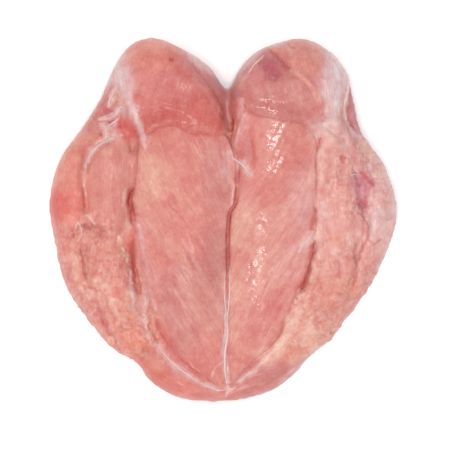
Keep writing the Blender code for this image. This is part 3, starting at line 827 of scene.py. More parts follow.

# Strokes in the order of laying: tissue, path, half width in mm and how strongly it covers. The crease
# and pit strokes paint shade, the lip strokes a highlight.
STROKE_TABLE: tuple[tuple[Any, ...], ...] = (
    # left cap: washes
    ("WARM", ((-46, 87), (-31, 88.6)), 3.5, 0.7),
    ("RED", ((-28.3, 79.2),), 4.5, 0.35),
    ("BLOOD", ((-28.3, 79.2),), 1.1, 0.8),
    ("RED", ((-17, 57.4), (-12, 53)), 5.0, 0.35),
    ("RED", ((-36, 50.5), (-28, 52), (-14, 51.5)), 3.6, 0.4),
    # left cap: milky fascia running down beside the tenderloin's head
    ("MILK", ((-52, 79), (-51.5, 70), (-50.5, 61)), 4.6, 0.5),
    ("FILM", ((-51, 74), (-50.5, 66), (-49, 60)), 2.8, 0.7),
    ("LILAC", ((-50, 70), (-49.5, 62)), 2.4, 0.4),
    ("IVORY", ((-54, 63), (-52.6, 59.5), (-50, 57.4)), 1.7, 0.7),
    ("FILM", ((-48.4, 58), (-46.2, 52.6), (-43.7, 46.6), (-41.9, 40.3), (-41, 34.3)), 1.8, 1.0),
    ("LILAC", ((-43.4, 44), (-41.6, 37)), 1.2, 0.6),
    # left cap: pale rim above the cleft, its crease, lilac strip
    ("FILM", ((-18.6, 82), (-13.5, 78.5), (-8.8, 74.2)), 2.3, 0.75),
    ("CREASE", ((-17.7, 76.7), (-13.2, 71.3), (-8.5, 65.5), (-4.8, 60.4), (-0.9, 50.5)), 0.7, 0.55),
    ("LIP", ((-14.9, 67), (-9.9, 63), (-5.2, 57), (-2.8, 52)), 1.0, 0.6),
    ("MAUVE", ((-6.5, 69.5), (-3.6, 65)), 2.2, 0.6),
    ("LILAC", ((-1.8, 62), (-0.6, 56), (0.2, 48)), 1.1, 0.7),
    # cleft
    ("CREASE", ((1.5, 64), (1.7, 46)), 1.4, 0.5),
    ("PIT", ((2.0, 50), (2.1, 46), (1.6, 40)), 0.8, 0.8),
    # left tenderloin's head
    ("CREASE", ((-38.6, 43.3), (-34.5, 46.2), (-30.6, 47.2), (-26, 46.6), (-17.4, 43.4)), 0.4, 0.4),
    ("RED", ((-34, 44.2), (-30.5, 45), (-24, 43.6)), 2.0, 0.2),
    ("LIP", ((-17.5, 45.2), (-12, 45.6), (-7, 43.5)), 1.5, 0.45),
    # left flap under the cap: dark strip, white strands, cream strand
    ("RED", ((-57.4, 65.5), (-62, 58), (-66.5, 50.5)), 1.6, 0.45),
    ("MAGENTA", ((-61, 54), (-57, 52.8)), 1.8, 0.85),
    ("PURPLE", ((-62, 51.5), (-58, 48.5), (-54.5, 46)), 1.7, 0.7),
    ("SCARLET", ((-57.6, 50.8), (-53.8, 48)), 1.5, 0.7),
    ("CURL", ((-55.2, 66.3), (-57, 62.4), (-58.3, 59), (-59.2, 56.2)), 1.2, 1.0),
    ("CURL", ((-49.6, 57.8), (-53.3, 55.6), (-55.6, 52.4), (-58.7, 50.5), (-63.8, 50)), 1.3, 1.0),
    ("CREAM", ((-50.4, 59.4), (-53.4, 57)), 2.0, 0.7),
    ("CURL", ((-63.6, 47.8), (-60.6, 45.6), (-60.2, 43), (-61, 40.6)), 1.2, 1.0),
    ("CURL", ((-60.4, 45.6), (-57, 47.6), (-54, 50.5)), 1.1, 0.8),
    ("LILAC", ((-58.5, 45), (-55, 47)), 1.6, 0.6),
    ("SCARLET", ((-52.8, 49.4), (-50.4, 45), (-49, 40)), 3.0, 0.85),
    ("RED", ((-51, 47), (-49, 42)), 1.5, 0.6),
    ("MAGENTA", ((-54, 48.6), (-52.4, 46.4)), 1.6, 0.6),
    ("ORANGE", ((-65.8, 42), (-64, 39)), 1.6, 0.8),
    ("BLOOD", ((-63.8, 43), (-62.8, 41.6)), 0.9, 0.6),
    # left rib lobes: pale bar along their seam, then a red line
    ("CURL", ((-52.6, 42), (-58.7, 39.9), (-64.3, 37.2), (-67.5, 33.7), (-69.4, 29)), 1.5, 1.0),
    ("FILM", ((-70.2, 30), (-71, 23), (-71.2, 17), (-70.6, 12)), 0.6, 0.7),
    ("CREAM", ((-67, 30), (-68, 20), (-67.6, 8)), 1.6, 0.5),
    ("CREAM", ((-60.5, 32), (-61, 16), (-60, 2)), 1.3, 0.4),
    ("PINK", ((-64, 31), (-64.4, 18), (-63.6, 4)), 1.0, 0.5),
    ("PINK", ((-56.5, 34), (-57, 18), (-56.4, 4)), 1.0, 0.5),
    ("PINK", ((-77, 26), (-78, 16)), 1.2, 0.4),
    ("CREAM", ((-81, 26), (-83, 14)), 1.6, 0.5),
    ("CREASE", ((-71.6, 16), (-71.4, 10), (-70.8, 5.8)), 0.6, 0.6),
    ("CREASE", ((-55, 39.7), (-62, 36.2), (-67, 31), (-69.6, 24)), 0.5, 0.35),
    ("SCARLET", ((-86, 12), (-84.4, 1)), 5.0, 1.0),
    ("RED", ((-87, 11), (-85.4, 3)), 2.6, 0.5),
    ("ORANGE", ((-79, 36), (-84, 24)), 4.0, 0.45),
    ("SCARLET", ((-80, 14), (-75.4, 11.2), (-71.3, 8.5)), 2.4, 0.5),
    ("SCARLET", ((-80, 6), (-75, 2)), 2.4, 0.5),
    ("ORANGE", ((-79, 14), (-75.6, 11.4)), 0.7, 0.7),
    ("RED", ((-76, 6), (-71, 3)), 1.6, 0.45),
    ("STRAND", ((-70.3, 2.3), (-67.8, 0.8), (-67.3, -0.6), (-65.3, -2.2)), 0.7, 0.8),
    ("STRAND", ((-75.7, -4.1), (-74.2, -1.4), (-72.7, -4.5), (-72.7, -7.1)), 0.6, 0.7),
    ("PURPLE", ((-73, -2.6), (-69.5, -3.6), (-66.3, -3.8)), 1.0, 0.7),
    ("BLOOD", ((-76.9, -8.1),), 1.1, 0.7),
    # left rib and tenderloin: crease, pocket, pale lip of the rib lobe; the red and scarlet strokes
    # paint the shade in the pockets and the shadow under the rib lobe's edge
    ("CREASE", ((-44.7, 39.5), (-44.8, 33), (-45.6, 25), (-46.4, 18), (-47.3, 14.8)), 0.6, 0.7),
    ("RED", ((-47.5, 17), (-48.8, 9), (-46.6, 0)), 2.0, 0.6),
    ("PIT", ((-47.9, 13.8), (-49, 9.2), (-47.2, 4.6), (-46.2, 0)), 0.9, 0.85),
    ("IVORY", ((-50.6, 15), (-51.3, 8), (-49.4, 1.6), (-50.2, -4), (-52.5, -7.6)), 0.9, 0.7),
    ("SCARLET", ((-49.6, 12), (-50, 8), (-48.4, 0)), 1.2, 0.6),
    # painted shade and shadow down the wall of the rib lobe beside the lower pocket
    ("SCARLET", ((-48.4, -6), (-48.4, -18), (-47.6, -28), (-46.8, -35)), 1.8, 0.7),
    ("RED", ((-47.3, -4), (-47.2, -13), (-47, -22), (-45.7, -35)), 1.2, 0.7),
    ("VEIL", ((-44.8, -2), (-43.4, -6), (-42.4, -10)), 0.9, 0.8),
    ("VEIL", ((-43, -11), (-42, -15), (-42.4, -19)), 0.9, 0.7),
    ("FILM", ((-48.5, -25), (-47.4, -36), (-46.2, -47)), 1.1, 0.75),
    ("FILM", ((-40.7, -35), (-41.2, -45), (-40.6, -54), (-38.4, -61)), 1.2, 0.75),
    ("LILAC", ((-44, -38), (-43.8, -50), (-42, -58)), 1.4, 0.5),
    # left ragged edge: creases, lumps of fat, purple line, smooth orange lobe
    ("CREASE", ((-73.2, -15), (-71.8, -20), (-70.3, -28.3), (-67.8, -33.8)), 0.9, 0.6),
    ("FAT", ((-53.8, -9), (-53, -12)), 1.4, 0.75),
    ("FAT", ((-51.2, -15.4), (-50.4, -19)), 1.2, 0.7),
    ("MAGENTA", ((-64.5, -43.9), (-60.6, -53.4), (-58.7, -57.6)), 1.3, 0.7),
    ("IVORY", ((-78, -17), (-76.5, -23), (-75, -29)), 2.4, 0.6),
    ("IVORY", ((-72.6, -34), (-69, -39)), 2.0, 0.55),
    ("IVORY", ((-66, -31), (-60.5, -33)), 1.8, 0.6),
    ("IVORY", ((-58, -38), (-55, -46), (-51, -53)), 1.7, 0.5),
    ("SCARLET", ((-55.6, -35), (-54, -39)), 1.8, 0.5),
    ("SCARLET", ((-61, -18), (-58, -24)), 2.6, 0.3),
    ("SCARLET", ((-66, -24), (-64, -28)), 1.6, 0.4),
    ("ORANGE", ((-50, -60), (-43, -62)), 5.0, 0.5),
    ("CREASE", ((-39.4, -65.1), (-42.7, -68.8)), 0.7, 0.5),
    ("ORANGE", ((-40, -73), (-30, -79), (-20, -84)), 4.5, 0.3),
    ("CREAM", ((-40, -68), (-33, -73)), 3.0, 0.4),
    # left tenderloin: washes, small crease, faint lines
    ("CREAM", ((-41, 24), (-38, 14)), 4.0, 0.5),
    ("RED", ((-25, 13),), 5.0, 0.25),
    ("CREASE", ((-30.2, 9.4), (-28.3, 6), (-24.8, 3.6), (-20.8, -1.6)), 0.45, 0.5),
    ("LIP", ((-31, 8), (-28.8, 4.8), (-25.4, 2.4)), 0.6, 0.4),
    ("LIP", ((-37.2, -12.5), (-31, -15.5), (-25.8, -17.9), (-18.9, -23.4)), 0.5, 0.45),
    ("LIP", ((-33, -26), (-25, -30.5), (-17, -36)), 0.5, 0.3),
    ("ASH", ((-5, -8), (-5.4, -22), (-5, -33)), 3.6, 0.55),
    ("VEIL", ((-45, 0), (-41, -12), (-37, -24), (-34, -34)), 2.6, 0.4),
    ("VEIL", ((-44, -6), (-41, -20), (-39, -34), (-36, -44)), 1.0, 0.6),
    ("VEIL", ((-43, 4), (-36, -8), (-28, -18)), 1.6, 0.3),
    ("MAUVE", ((-43.5, -14), (-40.5, -30), (-38, -42)), 1.0, 0.5),
    ("CREAM", ((-36, 34), (-27, 18), (-19, 4)), 2.4, 0.5),
    ("CREAM", ((-40, 6), (-31, -8), (-20, -24)), 3.0, 0.45),
    ("RED", ((-31, -14), (-26, -22)), 4.0, 0.22),
    ("CREAM", ((-24, -28), (-16, -42), (-10, -54)), 3.0, 0.4),
    ("PINK", ((-30, 38), (-20, 30), (-12, 20)), 4.0, 0.4),
    ("LILAC", ((-1.6, 32), (-1.6, 17)), 1.6, 0.55),
    # painted red shade along the tenderloin's lower edge, where it dips toward the rim
    ("RED", ((-35, -50), (-29.6, -61), (-24, -69), (-16, -75.5), (-9.8, -77)), 1.8, 0.5),
    ("FILM", ((-36, -61.5), (-31.5, -67.2), (-25.4, -73.2), (-19.8, -77.2)), 1.9, 0.6),
    ("FILM", ((-19.8, -77.2), (-14.2, -81), (-8.7, -83.4), (-4.8, -85)), 1.4, 0.75),
    ("LILAC", ((-31, -69.5), (-24, -76), (-17, -80.5)), 1.0, 0.5),
    ("STRAND", ((-3.1, -70.7), (-5.9, -72.9), (-7.5, -76.3), (-8.7, -79.6)), 0.45, 0.6),
    # seam between the tenderloins: its red and blood-red lines paint the shade in the gap
    ("VEIL", ((-2, 33), (1.5, 30.5), (4.4, 26)), 2.0, 0.7),
    ("PURPLE", ((5.0, 24), (4.4, 18)), 0.9, 0.7),
    ("RED", ((4.2, 16), (3.6, 8), (1.0, 2), (0.2, -12), (0, -24)), 1.2, 0.75),
    ("BLOOD", ((4.3, 16), (3.8, 8), (1.3, 3.6), (0.3, -3), (0.1, -12), (-0.1, -26)), 0.6, 0.95),
    ("FILM", ((3.0, 17), (2.2, 12), (1.8, 7)), 0.5, 0.85),
    ("RED", ((-0.2, -25), (-0.4, -39)), 0.7, 0.8),
    ("STRAND", ((-1.9, -25), (-2.0, -39)), 0.45, 0.65),
    ("STRAND", ((1.2, -25), (1.0, -39)), 0.45, 0.65),
    ("LILAC", ((-0.6, -39), (-0.6, -51)), 1.6, 0.8),
    ("STRAND", ((-0.4, -49), (0, -60)), 0.7, 0.8),
    ("FILM", ((-1.6, -57), (-2.0, -66), (-1.4, -75), (-0.4, -81)), 1.2, 0.8),
    ("FILM", ((-0.4, -80), (0.2, -84.5), (-1, -88)), 1.0, 0.8),
    ("STRAND", ((0.2, -84), (2.2, -84.2), (4.2, -83)), 0.6, 0.7),
    # right cap: milky rim, glow, purple dip, folds, band of fat
    ("MILK", ((1.5, 67.3), (8, 77), (15.8, 84.6), (27, 88.4)), 2.2, 0.6),
    ("STRAND", ((17.6, 81.4), (15.2, 79), (12.8, 76.5), (10.3, 72.8)), 0.7, 0.8),
    ("CREAM", ((8, 71), (4.5, 65.5)), 2.6, 0.6),
    ("PURPLE", ((21.7, 76), (20, 73.5)), 4.4, 0.45),
    ("ORANGE", ((19, 84.5), (23, 83)), 2.2, 0.4),
    ("CREASE", ((20.2, 85), (23.7, 81.7), (27.6, 77.2), (30.1, 74.7)), 0.8, 0.95),
    ("LIP", ((22.4, 85.4), (26.4, 81.8), (30, 78)), 1.3, 0.6),
    ("CREASE", ((30, 73.4), (33, 70.8), (37.4, 67.4), (41, 62.6)), 0.7, 0.5),
    ("LIP", ((31.4, 75), (33.6, 72.8), (37, 70.4), (40.8, 66.2), (43.4, 62.8)), 1.7, 0.8),
    ("CREAM", ((33.6, 73), (37.4, 70), (41.4, 65.6)), 0.9, 0.6),
    ("CREAM", ((43.4, 62.4), (44, 57.4), (45.4, 50.5)), 1.8, 0.6),
    ("CREASE", ((29.6, 87.6), (31, 85.6), (33.3, 84.9)), 0.7, 0.75),
    ("LIP", ((33.8, 80.7), (34.4, 76.4)), 1.1, 0.4),
    ("HAZE", ((52, 80), (55, 68), (54.5, 58)), 4.6, 0.7),
    ("FILM", ((56, 70), (56, 58)), 2.6, 0.5),
    ("LILAC", ((56, 72), (56.5, 60)), 2.2, 0.55),
    ("RED", ((61.2, 68), (60.4, 60), (60.4, 53), (62, 47)), 1.2, 0.6),
    ("MAUVE", ((62.4, 66), (62.5, 56), (64.5, 48)), 2.0, 0.8),
    ("CURL", ((59.6, 72), (59.1, 64), (58.2, 59), (57.7, 54), (58.6, 50.4)), 1.3, 1.0),
    ("CURL", ((58.6, 50), (61.2, 44), (66.6, 40.6), (70.6, 38.6)), 1.1, 0.7),
    ("IVORY", ((50.1, 56.7), (51.2, 56)), 1.9, 0.7),
    ("IVORY", ((53.2, 54.6), (55.6, 52.6)), 1.6, 0.7),
    ("MAGENTA", ((47, 52), (46.2, 48.5)), 1.8, 0.55),
    ("GLAZE", ((47, 50), (48.5, 47)), 1.8, 0.9),
    ("RED", ((44, 55), (40, 51)), 2.6, 0.3),
    # right transverse crease, pale strands and dark streak beside the cleft
    ("CREASE", ((7.6, 57), (10.2, 54.4), (13.2, 51.6), (20.3, 50.6), (27, 49.2), (37, 47.6)), 0.45, 0.6),
    ("RED", ((16, 56), (26, 53)), 2.4, 0.3),
    ("VEIL", ((6.4, 60), (7.4, 54), (7.2, 48.3), (5.2, 43), (3.4, 36), (1.4, 33)), 1.4, 0.8),
    ("FILM", ((5.5, 29.4), (7.8, 27), (10.2, 23.9), (11.4, 21.8)), 1.4, 0.7),
    ("RED", ((11.7, 46), (12.1, 37), (13.1, 31), (12.6, 25)), 1.5, 0.6),
    ("BLOOD", ((12.2, 39), (13, 30)), 0.7, 0.5),
    ("MAUVE", ((9, 42), (9, 34), (10, 29)), 1.8, 0.5),
    # right tenderloin: wet glazed patches
    ("GLAZE", ((20, 63), (18.7, 59.7), (21, 57), (24.5, 52.5)), 4.2),
    ("GLAZE", ((26, 46), (21, 40), (23, 34)), 4.0),
    ("GLAZE", ((25, 30), (21, 25), (18.5, 21.5)), 4.6),
    ("GLAZE", ((21.5, 3), (17, 0.6), (18.4, -8.4)), 3.4),
    ("GLAZE", ((17.3, -13.5), (17, -17)), 2.0),
    ("GLAZE", ((14, -20), (12, -27), (11, -33)), 3.0),
    ("GLAZE", ((14.2, -38.5), (13.6, -41)), 1.8),
    ("GLAZE", ((10.4, -49.5), (8, -53.5)), 2.6),
    # right tenderloin: lilac film, cream beside the seam, oblique bands
    ("LILAC", ((38.5, 14), (39, 8), (37.5, -2)), 2.6, 0.5),
    ("CREAM", ((7.5, 3), (7, -10)), 4.6, 0.45),
    ("VEIL", ((33, 16), (36, 6), (38, -3)), 2.6, 0.5),
    ("ROSE", ((26, 12), (33, 22), (38, 30)), 3.0, 0.5),
    ("CREAM", ((12, -16), (22, -4), (31, 8)), 2.2, 0.35),
    ("CREAM", ((8, -34), (18, -24), (28, -12)), 2.4, 0.35),
    ("ROSE", ((22, -22), (31, -12), (39, -4)), 2.0, 0.45),
    ("RED", ((14, 30), (18, 18), (20, 10)), 3.4, 0.2),
    ("RED", ((8, -60), (16, -52), (24, -42)), 3.0, 0.22),
    ("LIP", ((21.5, -12.5), (25.9, -8.4)), 0.6, 0.5),
    ("RED", ((24.8, -26.5), (31, -20), (37.8, -14.3)), 1.6, 0.3),
    ("RED", ((22, -36), (29, -29.5), (35, -24)), 1.4, 0.22),
    ("LIP", ((23, -30.4), (29.6, -24.2), (36, -18.6)), 0.8, 0.35),
    # right rib and tenderloin: crease, pockets, whitish flap; the red, blood-red and scarlet strokes
    # paint the shade along the crease and in the pockets, and the shadow of the rib edge on the
    # tenderloin
    ("CREASE", ((45.8, 40.5), (44.6, 35), (43.2, 30), (44, 24), (44.3, 19.3), (43.4, 15)), 0.6, 0.7),
    ("CREASE", ((43.4, 15), (43.4, 8), (42.6, 0), (41, -4.6)), 0.6, 0.6),
    ("RED", ((45.6, 40.4), (44.6, 34)), 1.3, 0.6),
    ("RED", ((42.4, 1), (41.2, -4.6)), 1.7, 0.7),
    ("FILM", ((41.4, -8.4), (38.6, -11), (35.3, -15.5)), 1.7, 0.75),
    ("BLOOD", ((42.8, -12), (40.6, -13.6)), 1.1, 0.7),
    ("SCARLET", ((43.4, -12), (41.8, -22), (39, -29), (35.6, -34)), 1.8, 0.5),
    ("RED", ((42.4, -13.5), (40.8, -22), (38, -28.6), (34.8, -33.6)), 1.5, 0.8),
    ("RED", ((33.8, -35), (31.4, -43), (27.4, -51), (24.4, -59.4), (19.6, -66)), 1.2, 0.5),
    ("RED", ((19.6, -66), (13, -71.6), (5.6, -77)), 1.1, 0.45),
    ("IVORY", ((31, -56), (26.8, -61), (21.8, -65.8), (16.8, -70.8)), 1.1, 0.7),
    ("FILM", ((16.8, -71), (12.6, -75.4), (8, -78.6), (3.9, -81.6)), 1.1, 0.75),
    # right rib lobes: cream inner edge, nodules, orange crease, yellowish fat
    ("IVORY", ((43.9, -4), (44.9, -14.6), (42.8, -24.4), (40.6, -30.3)), 1.5, 0.8),
    ("IVORY", ((46, 36), (45.8, 26), (46, 18)), 1.3, 0.5),
    ("IVORY", ((38, -36), (34, -46), (31, -55)), 2.2, 0.5),
    ("IVORY", ((46, -46), (41, -54), (36, -60)), 2.4, 0.45),
    ("FILM", ((46.3, 8.8), (48, 6.2), (47.8, 2.6), (48.9, 1)), 0.9, 0.85),
    ("FILM", ((50, 4.4), (51.4, 2.6)), 0.7, 0.6),
    ("GLAZE", ((47, 18), (53, 15)), 2.4, 0.9),
    ("ORANGE", ((55.4, -6.5), (52, -10)), 4.5, 0.45),
    ("RED", ((60, -17), (59, -23)), 1.5, 0.5),
    ("FILM", ((52.7, -16.8),), 1.4, 0.7),
    ("IVORY", ((46.8, 43.2), (50, 42.8), (53, 41.2)), 1.5, 0.7),
    ("IVORY", ((65.6, 38.6), (69, 35), (71.6, 30.6)), 2.6, 0.8),
    ("FAT", ((67, 37), (69, 35), (70, 33)), 1.6, 0.5),
    ("FAT", ((64.4, 34.4), (66.4, 32.6)), 1.5, 0.6),
    ("FILM", ((72.2, 32.7), (71.2, 29), (69.9, 25.5)), 0.7, 0.8),
    ("VEIL", ((54, 42.4), (58.2, 36.3), (61, 30), (62.8, 24.8)), 0.8, 0.85),
    ("MAUVE", ((56.8, 40.6), (60.6, 34), (63.8, 27)), 1.2, 0.5),
    ("STRAND", ((62.6, 26), (63.7, 24.4), (65, 23.4)), 0.7, 0.9),
    ("STRAND", ((60.8, 22), (62.4, 22.6), (64, 22.4)), 0.6, 0.8),
    ("MAGENTA", ((56.2, 31.6), (57.2, 29.6)), 1.7, 0.8),
    ("MAGENTA", ((56.5, 29), (56.5, 22)), 0.9, 0.7),
    ("LILAC", ((62, 22), (66, 14)), 3.4, 0.5),
    ("ORCHID", ((65.4, 20), (68.8, 13.4)), 3.0, 0.7),
    ("MAGENTA", ((65.5, 23.8), (69.9, 19.3), (72.2, 17)), 1.0, 0.85),
    ("MAGENTA", ((66.5, 20.5), (64.8, 16.5)), 0.8, 0.5),
    ("LILAC", ((65.2, 16), (66.8, 11.5)), 1.6, 0.6),
    ("ORCHID", ((65.6, 10.4), (68.6, 7.0)), 2.0, 0.8),
    ("MAGENTA", ((66, 9.4), (68, 8)), 0.9, 0.6),
    ("MILK", ((73, 6), (72.6, -1), (72, -8)), 3.2, 0.75),
    ("CREASE", ((67.3, 1.4), (69.2, -3), (69.4, -9.6), (72.4, -12.4), (76, -9.6)), 0.6, 0.65),
    ("CREASE", ((68.4, -10.3), (65.7, -14.6), (64.1, -18.9), (63.5, -25.4), (61.6, -34.7)), 0.9, 0.7),
    ("LIP", ((63.4, -14), (61.6, -20), (60.8, -28)), 0.9, 0.6),
    # right ragged edge and tail
    ("FAT", ((29.5, -45.6), (29.4, -50), (28.8, -53.7)), 0.8, 0.65),
    ("FAT", ((35.9, -34.6), (34.8, -39.8)), 0.9, 0.6),
    ("RED", ((48, -41.7), (52.4, -42)), 1.3, 0.45),
    ("RED", ((44.3, -48),), 1.5, 0.45),
    ("ORANGE", ((27.5, -65.8), (33, -65)), 2.6, 0.5),
    ("PINK", ((29.5, -69.5), (26, -71.8), (22.8, -73.3)), 1.6, 0.6),
    ("CREASE", ((22.8, -79.4), (27.1, -76.8), (32.4, -73.4), (37.6, -70.3), (41.6, -66.8)), 0.7, 0.6),
    ("MILK", ((26, -81), (33, -75.4), (40, -69)), 1.6, 0.5),
)
STROKES = tuple(Stroke(Tissue[row[0]], *row[1:]) for row in STROKE_TABLE)

# Loose strands of sinew and membrane: path and radius in mm
STRANDS: tuple[tuple[Path, float], ...] = (
    (((-55.6, 65.8), (-57.2, 62.4), (-58.7, 59.4), (-59.5, 55.6)), 0.32),
    (((-49.6, 57.8), (-53.4, 55.6), (-55.5, 52.2), (-58.6, 50.4), (-63.6, 49.9)), 0.34),
    (((-63.4, 47.7), (-60.4, 45.4), (-60.2, 43), (-61.2, 40.9)), 0.43),
    (((-60.2, 45.9), (-57, 48), (-54.2, 50.3)), 0.33),
    (((-52.8, 41.8), (-58.7, 39.9), (-64.5, 36.5), (-69, 30.7), (-71, 23)), 0.30),
    (((-70.4, 2.6), (-67.9, 0.9), (-67.2, -0.7), (-65.2, -2.4)), 0.33),
    (((-75.8, -4.3), (-74.3, -1.5), (-72.7, -4.4), (-72.6, -7.2)), 0.29),
    (((-34.9, -62.9), (-31.5, -67), (-25.4, -73), (-19.8, -77), (-14.2, -80.9)), 0.30),
    (((-14.2, -80.9), (-8.7, -83.2), (-4.8, -84.8), (-1, -84.4)), 0.45),
    (((-1.2, -88.6), (0.2, -84.4), (2.2, -84.2), (4.3, -83.1)), 0.36),
    (((0.9, -22), (0.9, -30), (0.6, -40), (-0.2, -48), (-0.5, -60)), 0.36),
    (((-1.3, -24), (-1.6, -33), (-1.4, -42), (-0.4, -50)), 0.30),
    (((-0.4, -46), (-0.2, -57), (-1.6, -67), (-1.3, -77), (0.2, -84.4)), 0.62),
    (((17.7, 81.6), (15.2, 79), (12.8, 76.6), (10.2, 72.7)), 0.32),
    (((59.7, 70.2), (59.1, 64), (58.1, 59), (57.6, 54), (58.5, 50.4)), 0.41),
    (((62.4, 26.3), (63.7, 24.5), (65.2, 23.3)), 0.39),
    (((60.8, 21.8), (62.4, 22.7), (64.2, 22.3)), 0.33),
    (((1.2, 31), (4.2, 29.4), (7.8, 26.5), (10.4, 22.2)), 0.45),
)


class BreastForm:
    """Inner and outer side of the two joined fillets."""

    def __init__(self) -> None:
        """Work out the outline and the loops of the two beds."""
        self.loop = closed_spline(OUTLINE)
        self.beds = (TenderForm(LEFT_TENDER_SIDE, -1), TenderForm(RIGHT_TENDER_SIDE, 1))

    def open_upper(self, x: Array, y: Array) -> Array:
        """Work out the inner side before the beds are pressed in.

        Args:
            x: Places across, in mm.
            y: Places along, in mm.

        Returns:
            The height, in mm.
        """
        shifted_x = x + WANDER * uneven(x, y, WANDER_SIZE, Seed.FORM_ACROSS)
        shifted_y = y + WANDER * uneven(x, y, WANDER_SIZE, Seed.FORM_ALONG)
        swell = sum(
            np.exp(lobe.height(shifted_x, shifted_y) / LOBE_BLEND) - 1 for lobe in LOBES
        )
        bumps = uneven(x, y, CRAG_SIZE, Seed.CRAG)
        bumps = bumps + FINE_CRAG_SHARE * uneven(x, y, CRAG_SIZE / 2, Seed.FINE_CRAG)
        height = BED_FLOOR + LOBE_BLEND * np.log(1 + swell)
        height = height + CRAG_DEPTH * crag_weight(x, y) * bumps
        for bed in self.beds:
            height = bed.meet(x, y, height)
        for groove in GROOVES:
            height = height - groove.sink(shifted_x, shifted_y)
        edge, _ = near_path(x, y, self.loop, closed=True)
        return RIM_UPPER + (height - RIM_UPPER) * round_over(edge, UPPER_EDGE_RADIUS)

    def upper(self, x: Array, y: Array) -> Array:
        """Height of the inner side with the beds of the tenderloins, in mm."""
        height = self.open_upper(x, y)
        for bed in self.beds:
            height = bed.press(x, y, height)
        away, share = near_path(x, y, SEAM + (SEAM_FOOT,))
        web = self.beds[0].waist(x, y) + np.interp(y, *zip(*SEAM_RISE))
        return np.where((away < SEAM_WEB) & (share < 1), web, height)

    def lower(self, x: Array, y: Array) -> Array:
        """Height of the smooth outer side that the piece rests on, in mm."""
        edge, _ = near_path(x, y, self.loop, closed=True)
        keel = KEEL_GROOVE_DEPTH * falloff(x, KEEL_GROOVE_HALF_WIDTH)
        return keel + (RIM_LOWER - keel) * (1 - round_over(edge, LOWER_EDGE_RADIUS))


class TenderForm:
    """Upper and lower side of one tenderloin, and how the fillet takes it in."""

    def __init__(self, side_points: Path, side: int) -> None:
        """Work out the outline.

        Args:
            side_points: Its outer side, from the seam round the head to the tail.
            side: -1 for the left one, 1 for the right one.
        """
        seam = tuple((x + side * KEEL_CLEARANCE, y) for x, y in reversed(SEAM))
        self.side_points = side_points
        self.loop = closed_spline(side_points + seam)

    def toward_tail(self, y: Array) -> Array:
        """Share of the way from the head to the tail, from 0 to 1."""
        return np.clip((TENDER_HEAD_Y - y) / (TENDER_HEAD_Y - TENDER_TAIL_Y), 0, 1)

    def meet(self, x: Array, y: Array, height: Array) -> Array:
        """Slope the fillet around to this tenderloin's outer edge.

        Args:
            x: Places across, in mm.
            y: Places along, in mm.
            height: Height of the fillet there, in mm.

        Returns:
            The height after sloping.
        """
        share = MEET_HEAD_SHARE + (MEET_TAIL_SHARE - MEET_HEAD_SHARE) * self.toward_tail(y)
        away, _ = near_path(x, y, self.side_points)
        inside = inside_loop(x, y, self.loop)
        away = np.where(inside, np.clip(away - MEET_WIDTH, 0, None), away)
        level = self.waist(x, y) + MEET_RISE
        return height + share * falloff(away, MEET_WIDTH) * (level - height)

    def press(self, x: Array, y: Array, height: Array) -> Array:
        """Press this tenderloin's bed into the fillet.

        Args:
            x: Places across, in mm.
            y: Places along, in mm.
            height: Height of the fillet there, in mm.

        Returns:
            The height with the bed, its lap at the edge and the shallow pockets beside it.
        """
        edge, _ = near_path(x, y, self.loop, closed=True)
        inside = inside_loop(x, y, self.loop)
        top = self.upper(x, y)
        lap = top + (height - top) * (1 - edge / BED_LAP) - BED_LAP_DIP * edge / BED_LAP
        height = np.where(inside & (edge < BED_LAP) & (height > top), lap, height)
        floor = self.lower(x, y) - BED_CLEARANCE
        height = np.where(inside & (edge >= BED_LAP) & (height > floor), floor, height)
        beside = (edge < POCKET_REACH) & (~inside | (edge < POCKET_REACH / 2))
        shallow = np.maximum(height, self.waist(x, y) - POCKET_DEPTH)
        return np.where(beside, shallow, height)

    def crest(self, x: Array, y: Array) -> Array:
        """Height of the top away from its edges, in mm."""
        drop = (TENDER_TAIL_TOP - TENDER_HEAD_TOP) * self.toward_tail(y) ** TENDER_TAPER
        outward = (np.abs(x) - TENDER_RIDGE_X) / TENDER_HALF_WIDTH
        return TENDER_HEAD_TOP + drop - TENDER_SIDE_DROP * outward**2

    def waist(self, x: Array, y: Array) -> Array:
        """Height at which the tenderloin is widest, in mm."""
        return self.crest(x, y) - TENDER_WAIST_DROP

    def upper(self, x: Array, y: Array) -> Array:
        """Height of the upper side, tightly rounded beside the keel line."""
        waist = self.waist(x, y)
        outward = np.clip(np.abs(x) / TENDER_HALF_WIDTH, 0, 1)
        radius = TENDER_KEEL_RADIUS + (TENDER_OUTER_RADIUS - TENDER_KEEL_RADIUS) * outward
        below_head = np.clip(TENDER_HEAD_Y - y, 0, None)
        radius = np.minimum(radius, TENDER_HEAD_RADIUS + TENDER_RADIUS_GROWTH * below_head)
        edge, _ = near_path(x, y, self.loop, closed=True)
        return waist + (self.crest(x, y) - waist) * round_over(edge, radius)

    def lower(self, x: Array, y: Array) -> Array:
        """Height of the underside, which lies in its bed."""
        waist = self.waist(x, y) - TENDER_WALL
        edge, _ = near_path(x, y, self.loop, closed=True)
        return waist + (TENDER_UNDERSIDE - waist) * round_over(edge, TENDER_LOWER_RADIUS)


BREAST = BreastForm()
MIDDLE = (BREAST.loop.min(axis=0) + BREAST.loop.max(axis=0)) / 2


def freeze(piece: bpy.types.Object) -> None:
    """Turn an object's evaluated shape into its plain mesh, with no modifiers."""
    bpy.context.view_layer.update()
    graph = bpy.context.evaluated_depsgraph_get()
    mesh = bpy.data.meshes.new_from_object(piece.evaluated_get(graph))
    piece.modifiers.clear()
    old = piece.data
    piece.data = mesh
    bpy.data.meshes.remove(old)


